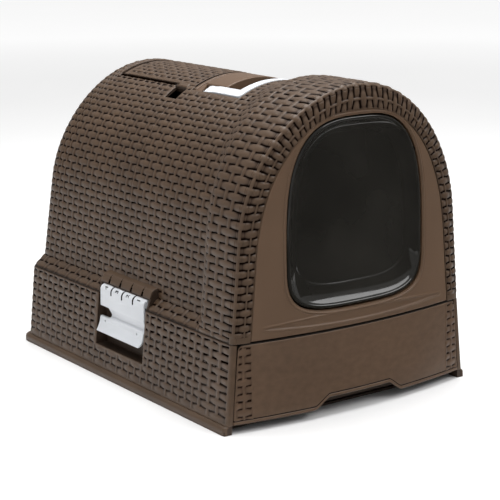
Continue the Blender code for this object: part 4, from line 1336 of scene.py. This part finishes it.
@dataclass
class Latch:
    """White snap latch with four slit fingers, a snap groove and a flared lip."""

    finishes: Finishes
    side: Side
    plate: float = 0.0024
    slit: float = 0.0030
    hole: float = 0.0026
    text_size: float = 0.0094
    digit_angle: float = 143.0
    digit_radius: float = 0.0073
    axis_x: float = 0.171
    axis_z: float = 0.112
    knuckle: float = 0.006

    def path(self) -> Outline:
        """Centre line (x, z) of the left latch's section, from finger tips to lip."""
        points = []
        for i in range(17):
            turn = math.radians(65 + 115 * i / 16)
            x = -self.axis_x + self.knuckle * math.cos(turn)
            points.append((x, self.axis_z + self.knuckle * math.sin(turn)))
        return points + [
            (-0.1774, 0.0920), (-0.1771, 0.0900), (-0.1756, 0.0872), (-0.1740, 0.0845), (-0.1733, 0.0820),
            (-0.1737, 0.0795), (-0.1754, 0.0780), (-0.1775, 0.0768), (-0.1781, 0.0750), (-0.1788, 0.0710),
            (-0.1799, 0.0672), (-0.1814, 0.0636), (-0.1832, 0.0600), (-0.1847, 0.0577),
        ]

    def finger_gaps(self, low: Vector, high: Vector) -> list[float]:
        """Places along the hinge of the three slits between the fingers."""
        return [low.y + (high.y - low.y) * quarter / 4 for quarter in (1, 2, 3)]

    def plate_solid(self) -> Piece:
        """The bent plate, made by sweeping its section along the hinge."""
        low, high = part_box("latch_left")
        path = self.path()
        section = [[], []]
        for i, point in enumerate(path):
            before, after = Vector(path[max(i - 1, 0)]), Vector(path[min(i + 1, len(path) - 1)])
            along = (after - before).normalized()
            across = Vector((-along.y, along.x)) * self.plate / 2
            section[0].append(Vector(point) + across)
            section[1].append(Vector(point) - across)
        outline = section[0] + section[1][::-1]
        rings = [[(p.x, y, p.y) for p in outline] for y in (low.y, high.y)]
        return ring_solid("latch_plate_" + self.side.word, rings)

    def lip_outline(self, low: Vector, high: Vector) -> Outline:
        """Outline (y, z) that rounds the lip's lower corners."""
        bottom, top, wide, tight = 0.0566, 0.14, 0.0095, 0.003
        front_corner = corner_arc((low.y + wide, bottom + wide), wide, 180, 8)
        rear_corner = corner_arc((high.y - tight, bottom + tight), tight, 270, 4)
        return [(low.y, top), *front_corner, *rear_corner, (high.y, top)]

    def digits(self, low: Vector, high: Vector) -> list[Piece]:
        """Raised numbers 1 to 4 on the fingers, turned sideways."""
        made = []
        width = high.y - low.y
        for number in range(4):
            bpy.ops.object.select_all(action="DESELECT")
            bpy.ops.object.text_add(location=(0, 0, 0))
            text = bpy.context.object
            text.data.body = str(number + 1)
            text.data.size = self.text_size
            text.data.extrude = 0.00012
            text.data.offset = 0.00022
            text.data.align_x = "CENTER"
            text.data.align_y = "CENTER"
            text.data.resolution_u = 3
            bpy.ops.object.convert(target="MESH")
            text.name = f"latch_digit_{number + 1}_{self.side.word}"
            y = low.y + width * (number + 0.5) / 4
            for vert in text.data.vertices:
                flat = vert.co.copy()
                angle = math.radians(self.digit_angle) - flat.x / self.digit_radius
                reach = self.digit_radius + flat.z
                vert.co.x = (reach * math.cos(angle) - self.axis_x) * -self.side.value
                vert.co.y = y + flat.y * -self.side.value
                vert.co.z = self.axis_z + reach * math.sin(angle)
            made.append(text)
        return made

    def build(self) -> None:
        """Build and dress the latch."""
        low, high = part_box("latch_left")
        latch = self.plate_solid()
        rings = [[(x, y, z) for y, z in self.lip_outline(low, high)] for x in (-0.200, -0.150)]
        cut_with(latch, ring_solid("lip_corners", rings), "INTERSECT")
        slits = self.finger_gaps(low, high)
        for y in slits:
            tool = add_cube("slit", (-0.19, y - self.slit / 2, 0.1078), (-0.16, y + self.slit / 2, 0.13))
            cut_with(latch, tool)
        notch = add_cube("end_notch", (-0.19, high.y - 0.0215, 0.0770), (-0.1668, high.y + 0.01, 0.0910))
        add_bevel(notch, 0.0022, 4)
        finish_mesh(notch)
        cut_with(latch, notch)
        for y in (0.0440, -0.0310):
            near, far = (-0.19, y - self.hole / 2, 0.0712), (-0.16, y + self.hole / 2, 0.0712 + self.hole)
            cut_with(latch, add_cube("hole", near, far))
        if self.side is Side.RIGHT:
            for vert in latch.data.vertices:
                vert.co.x = -vert.co.x
            latch.data.flip_normals()
        add_bevel(latch, 0.00035, 2, 38)
        finish_mesh(latch, 30)
        latch.name = "latch_plate_" + self.side.word
        body = self.side.word + "_latch"
        dress(latch, self.finishes.white, body, "white_plastic", "latch_" + self.side.word)
        # Painted shadow: the walls of the finger slits get the near-black finish, so the slits read as deep.
        latch.data.materials.append(self.finishes.shadow)
        for face in latch.data.polygons:
            beside = min(abs(face.center.y - y) for y in slits)
            inner = beside < self.slit / 2 + 0.0002 and abs(face.normal.y) > 0.5
            face.material_index = int(inner and face.center.z > 0.1070)
        for y0, y1 in ((low.y + 0.0004, low.y + 0.0056), (high.y - 0.0056, high.y - 0.0004)):
            end = "front" if y0 < 0 else "rear"
            place = (self.side.value * self.axis_x, (y0 + y1) / 2, self.axis_z)
            lug = add_rod(f"latch_lug_{self.side.word}_{end}", place, 0.0050, y1 - y0, "Y")
            add_bevel(lug, 0.0004)
            finish_mesh(lug)
            dress(lug, self.finishes.white, body, "white_plastic")
        for digit in self.digits(low, high):
            dress(digit, self.finishes.print_black, body, "white_plastic")


# ------------------------------------------------------------------ roof fittings
@dataclass
class RoofFittings:
    """Carry handle, the plate between its legs, the woven hatch and the filter."""

    finishes: Finishes
    hood: Hood
    half: float = 0.0615
    leg: float = 0.0125
    front: float = -0.0895
    bar: float = 0.0145
    round: float = 0.0055

    def handle(self) -> None:
        """White U-shaped handle with rounded edges, following the roof's arch."""
        axis = joint_axis("handle_lift")
        xs = snapped(np.linspace(-self.half, self.half, 83), [-self.half + self.leg, self.half - self.leg])
        ys = snapped(np.linspace(self.front, axis[1], 56), [self.front + self.bar])
        y, x = np.meshgrid(ys, xs, indexing="ij")
        mid_y, mid_x = cell_middles(ys, xs)
        keep = (np.abs(mid_x) > self.half - self.leg) | (mid_y < self.front + self.bar)
        points = np.stack([x, y, FORM.roof_z(x)], axis=-1)
        proud = 1.3 * MILLIMETRE * soft_step(-y, 0.022, 0.034)
        made = skin("handle_loop", points, proud, keep, sink=0.0088)
        corners = [(self.half, 0.02)]
        for middle, start in ((self.half - self.round, 0), (self.round - self.half, -90)):
            for step in range(9):
                turn = math.radians(start - 90 * step / 8)
                x = middle + self.round * math.cos(turn)
                corners.append((x, self.front + self.round * (1 + math.sin(turn))))
        corners.append((-self.half, 0.02))
        rings = [[(x, y, z) for x, y in corners] for z in (0.33, 0.41)]
        cut_with(made, ring_solid("corners", rings), "INTERSECT")
        inner = self.half - self.leg
        cut_with(made, add_cube("between_legs", (-inner, self.front + self.bar, 0.33), (inner, 0.02, 0.41)))
        add_bevel(made, 0.0011, 3, 50)
        finish_mesh(made, 40)
        dress(made, self.finishes.white, "handle", "white_plastic", "carry_handle")
        for side in Side:
            rings = []
            for x_end in (self.half - self.leg, self.half):
                radius = float(FORM.roof_z(np.array(x_end))) - 0.0003 - axis[2]
                turns = [2 * math.pi * i / 64 for i in range(64)]
                rings.append([(x_end * side.value, axis[1] + radius * math.cos(turn),
                               axis[2] + radius * math.sin(turn)) for turn in turns])
            nose = ring_solid("handle_nose_" + side.word, rings)
            tool = add_rod("pin_hole", (side.value * 0.055, axis[1], axis[2]), 0.0018, 0.03, "X")
            cut_with(nose, tool)
            add_bevel(nose, 0.0006, 2, 50)
            finish_mesh(nose, 40)
            dress(nose, self.finishes.white, "handle", "white_plastic")

    def plate(self) -> None:
        """Smooth plate between the handle's legs, with a step down towards the bar."""
        inner = self.half - self.leg - 0.0010
        front, rear = -0.0446, 0.0030
        y, x = np.meshgrid(np.linspace(front, rear, 48), np.linspace(-inner, inner, 90), indexing="ij")
        points = np.stack([x, y, FORM.roof_z(x)], axis=-1)
        gap = np.minimum(np.minimum(y - front, rear - y), inner - np.abs(x))
        height = 1.0 * MILLIMETRE - 0.8 * MILLIMETRE * (1 - soft_step(gap, 0.0, 0.0016))
        made = skin("handle_plate_face", points, height)
        dress(made, self.finishes.panel, "housing", "panel_plastic")
        wide, front, rear = 0.0622, 0.0036, 0.0104
        y, x = np.meshgrid(np.linspace(front, rear, 18), np.linspace(-wide, wide, 110), indexing="ij")
        points = np.stack([x, y, FORM.roof_z(x)], axis=-1)
        gap = np.minimum(np.minimum(y - front, rear - y), wide - np.abs(x))
        height = 1.05 * MILLIMETRE - 0.7 * MILLIMETRE * (1 - soft_step(gap, 0.0, 0.0012))
        # Painted shadow: the sill's rear strip drops and its relief goes to 0, so it is drawn black as shade
        # in the gap under the hatch.
        drop = soft_step(y, 0.0084, 0.0088)
        height = blended(height, 0.1 * MILLIMETRE, drop)
        made = skin("handle_plate_sill", points, height, relief=SMOOTH * (1 - drop))
        dress(made, self.finishes.drawer, "housing", "panel_plastic")

    def hatch(self) -> None:
        """Woven hatch lid with a smooth border and its finger tab."""
        half, front, rear, lug_front = 0.0560, 0.0128, 0.1862, 0.1808
        levels = np.linspace(self.hood.row_at(-half), self.hood.row_at(half), 150)
        lines = snapped(np.linspace(front, rear, 124), [lug_front])
        y, row = np.meshgrid(lines, levels, indexing="ij")
        x, z = FORM.body_arch(row)
        points = np.stack([x, y, z], axis=-1)
        column = (y - FORM.fan_rear) / FORM.column_pitch
        height = WEAVE.relief(column, row)
        gap = np.minimum(np.minimum(y - front, rear - y), half - np.abs(x))
        height = blended(height, SMOOTH, 1 - soft_step(gap, 0.0028, 0.0038))
        # Painted shadow: relief 0 along the lid's front edge, so the woven finish draws a black line for the
        # shade in the gap to the sill.
        relief = blended(height, 0.0, 1 - soft_step(y, 0.0138, 0.0142))
        height = height - 0.4 * MILLIMETRE * (1 - soft_step(gap, 0.0, 0.0012))
        height = blended(height, 0.12 * MILLIMETRE, soft_step(y, 0.1745, 0.1775))
        mid_y, mid_r = cell_middles(lines, levels)
        mid_x, _ = FORM.body_arch(mid_r)
        lugs = (mid_y > lug_front) & (np.abs(mid_x) > 0.0172) & (np.abs(mid_x) < 0.0248)
        made = skin("hatch_lid", points, height, ~lugs, 0.3 * MILLIMETRE, relief)
        dress(made, self.finishes.hood, "hatch", "hood_plastic")
        along, across = np.linspace(0.0265, 0.0495, 30), np.linspace(-0.0612, -0.0545, 12)
        y, x = np.meshgrid(along, across, indexing="ij")
        points = np.stack([x, y, FORM.roof_z(x)], axis=-1)
        corner = rectangle_gap(x, y, (-0.0572, -0.0500, 0.0305, 0.0455))
        height = 1.4 * MILLIMETRE - 1.2 * MILLIMETRE * soft_step(corner, 0.0022, 0.0042)
        relief = np.full(y.shape, SMOOTH)
        made = skin("hatch_tab", points, height, sink=0.3 * MILLIMETRE, relief=relief)
        dress(made, self.finishes.hood, "hatch", "hood_plastic")

    def filter_pad(self) -> None:
        """Soft carbon pad with pressed dimples, in the filter cradle."""
        low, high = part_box("carbon_filter")
        pad = add_cube("carbon_pad", low, high)
        select_only(pad)
        bpy.ops.object.mode_set(mode="EDIT")
        bpy.ops.mesh.select_all(action="SELECT")
        bpy.ops.mesh.bevel(offset=0.0035, segments=4, affect="EDGES")
        bpy.ops.mesh.select_all(action="SELECT")
        bpy.ops.mesh.subdivide(number_cuts=12)
        bpy.ops.object.mode_set(mode="OBJECT")
        middle = (low + high) / 2
        for vert in pad.data.vertices:
            u = (vert.co.x - low.x) / (high.x - low.x)
            v = (vert.co.y - low.y) / (high.y - low.y)
            wave_u, wave_v = math.cos(2 * math.pi * 4 * u), math.cos(2 * math.pi * 6 * v)
            dimple = (0.5 - 0.5 * wave_u) * (0.5 - 0.5 * wave_v)
            share = (vert.co.z - middle.z) / (high.z - middle.z)
            vert.co.z -= share * 0.0016 * (1 - dimple)
        finish_mesh(pad, 60)
        dress(pad, self.finishes.felt, "housing", "charcoal_pad", "carbon_filter")

    def build(self) -> None:
        """Build and dress everything on and under the roof."""
        self.handle()
        self.plate()
        self.hatch()
        self.filter_pad()


# ------------------------------------------------------------------ carried-over pieces
def dress_frame_pieces(finishes: Finishes) -> None:
    """Procedural finishes on the frame's own pieces, with painted shadow on the drawer front."""
    pins = ("latch_pin_left", "latch_pin_right", "handle_pin_left", "handle_pin_right", "hatch_pin")
    shells = ("base_housing", "hood_shell", "filter_hatch", "filter_tray")
    chosen = (
        (finishes.inner, (*shells, "door_pivot_left", "door_pivot_right")),
        (finishes.panel, ("front_panel", "handle_plate")),
        (finishes.tray, ("drawer_tray",)),
        # The frame's drawer front shows only in the gaps round the drawer face; it is painted near black as
        # shadow.
        (finishes.shadow, ("drawer_front",)),
        (finishes.steel, pins),
    )
    for finish, names in chosen:
        for name in names:
            node = FRAME["nodes"][name]
            node.data.materials.clear()
            node.data.materials.append(finish)
            LOG.info("%s carried over", name)


# ------------------------------------------------------------------ stage
@dataclass
class Stage:
    """Pale floor, soft lights and the camera."""

    camera_place: tuple[float, float, float] = (-1.1563, -1.6020, 0.6224)
    look_at: tuple[float, float, float] = (0.0, 0.0064, 0.195)
    lens: float = 110.1
    side_share: float = 0.00983
    up_share: float = -0.02223

    def camera(self) -> None:
        """Camera at the object's three-quarter view from the left."""
        data = bpy.data.cameras.new("camera")
        data.lens = self.lens
        data.sensor_width = 36.0
        data.clip_start, data.clip_end = 0.05, 50.0
        made = bpy.data.objects.new("camera", data)
        place = Vector(self.camera_place)
        back = (place - Vector(self.look_at)).normalized()
        right = Vector((0, 0, 1)).cross(back).normalized()
        up = back.cross(right)
        aim = -back + right * self.side_share + up * self.up_share
        made.rotation_mode = "QUATERNION"
        made.location = place
        made.rotation_quaternion = aim.to_track_quat("-Z", "Y")
        bpy.context.scene.collection.objects.link(made)
        bpy.context.scene.camera = made

    def floor(self) -> None:
        """Wide pale floor with a faint mottle."""
        bpy.ops.object.select_all(action="DESELECT")
        bpy.ops.mesh.primitive_plane_add(size=30, location=(0, 0, 0))
        floor = bpy.context.object
        floor.name = "floor"
        made = NodeBuilder("pale_floor")
        made.set(Specular_IOR_Level=0.1)
        tones = ((0.3, (0.90, 0.90, 0.90)), (0.7, (0.92, 0.92, 0.92)))
        made.link(made.ramp(made.noise(2.0, 2.0), *tones), "Base Color")
        made.link(made.span(made.noise(60.0, 2.0), 0.75, 0.85), "Roughness")
        ring = made.nodes.new("ShaderNodeVectorMath")
        ring.operation = "LENGTH"
        made.links.new(made.place, ring.inputs[0])
        far = made.span(ring.outputs["Value"], 0.0, 0.55, 1.2, 4.5)
        path, glow = made.nodes.new("ShaderNodeLightPath"), made.nodes.new("ShaderNodeMath")
        glow.operation = "MULTIPLY"
        made.links.new(path.outputs["Is Camera Ray"], glow.inputs[0])
        made.links.new(far, glow.inputs[1])
        made.shader.inputs["Emission Color"].default_value = (1, 1, 1, 1)
        made.link(glow.outputs["Value"], "Emission Strength")
        floor.data.materials.append(made.material)

    def dark_card(
        self, name: str, place: Sequence[float], turn: Sequence[float], size: Sequence[float]
    ) -> None:
        """Dark card in front of the box, seen only in glossy reflections."""
        bpy.ops.object.select_all(action="DESELECT")
        bpy.ops.mesh.primitive_plane_add(size=1, location=place)
        card = bpy.context.object
        card.name = name
        card.rotation_euler = turn
        card.scale = (*size, 1.0)
        bpy.ops.object.transform_apply(location=True, rotation=True, scale=True)
        card.visible_camera = card.visible_diffuse = card.visible_shadow = False
        made = NodeBuilder("dark_flag")
        made.set(Specular_IOR_Level=0.0, Roughness=1.0)
        tones = ((0.3, (0.004, 0.004, 0.004)), (0.7, (0.008, 0.008, 0.008)))
        made.link(made.ramp(made.noise(8.0, 2.0), *tones), "Base Color")
        card.data.materials.append(made.material)

    def light(self, name: str, place: Sequence[float], size: tuple[float, float], energy: float) -> None:
        """Rectangular soft light aimed at the middle of the box."""
        data = bpy.data.lights.new(name, "AREA")
        data.shape = "RECTANGLE"
        data.size, data.size_y = size
        data.energy = energy
        made = bpy.data.objects.new(name, data)
        made.location = place
        made.rotation_mode = "QUATERNION"
        made.rotation_quaternion = (Vector((0, 0, 0.2)) - Vector(place)).to_track_quat("-Z", "Y")
        bpy.context.scene.collection.objects.link(made)

    def world(self) -> None:
        """White backdrop that lights the object a little less than it shows."""
        world = bpy.data.worlds.new("studio")
        bpy.context.scene.world = world
        world.use_nodes = True
        nodes, links = world.node_tree.nodes, world.node_tree.links
        seen = nodes["Background"]
        seen.inputs["Color"].default_value = (1.0, 1.0, 1.0, 1)
        seen.inputs["Strength"].default_value = 1.0
        lit = nodes.new("ShaderNodeBackground")
        lit.inputs["Strength"].default_value = 0.50
        path, mix = nodes.new("ShaderNodeLightPath"), nodes.new("ShaderNodeMixShader")
        links.new(path.outputs["Is Camera Ray"], mix.inputs["Fac"])
        links.new(lit.outputs["Background"], mix.inputs[1])
        links.new(seen.outputs["Background"], mix.inputs[2])
        links.new(mix.outputs["Shader"], nodes["World Output"].inputs["Surface"])

    def build(self) -> None:
        """Build camera, floor, lights and world."""
        self.camera()
        self.floor()
        self.light("overhead_softbox", (0.0, 0.1, 2.2), (1.8, 1.8), 66.0)
        self.light("front_softbox", (1.3, -1.8, 2.0), (1.9, 0.9), 30.0)
        self.light("left_softbox", (-2.2, -0.9, 1.1), (1.2, 1.2), 5.0)
        self.dark_card("dark_card_upright", (0.75, -1.25, 0.36), (math.pi / 2, 0, 0.46), (1.9, 0.72))
        self.dark_card("dark_card_low", (0.15, -1.16, 0.004), (0, 0, 0), (2.5, 1.76))
        self.world()
        bpy.context.scene.view_settings.view_transform = "Standard"


def main() -> None:
    """Build every sub-assembly in order around the frame."""
    logging.basicConfig(level=logging.INFO, format="%(name)s: %(message)s")
    FRAME.update(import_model())
    Stage().build()
    finishes = Finishes()
    dress_frame_pieces(finishes)
    hood = Hood(finishes)
    hood.build()
    Base(finishes).build()
    FrontPanel(finishes, hood).build()
    Door(finishes).build()
    Drawer(finishes).build()
    for side in Side:
        Latch(finishes, side).build()
    RoofFittings(finishes, hood).build()
    bpy.context.view_layer.update()


if __name__ == "__main__":
    main()
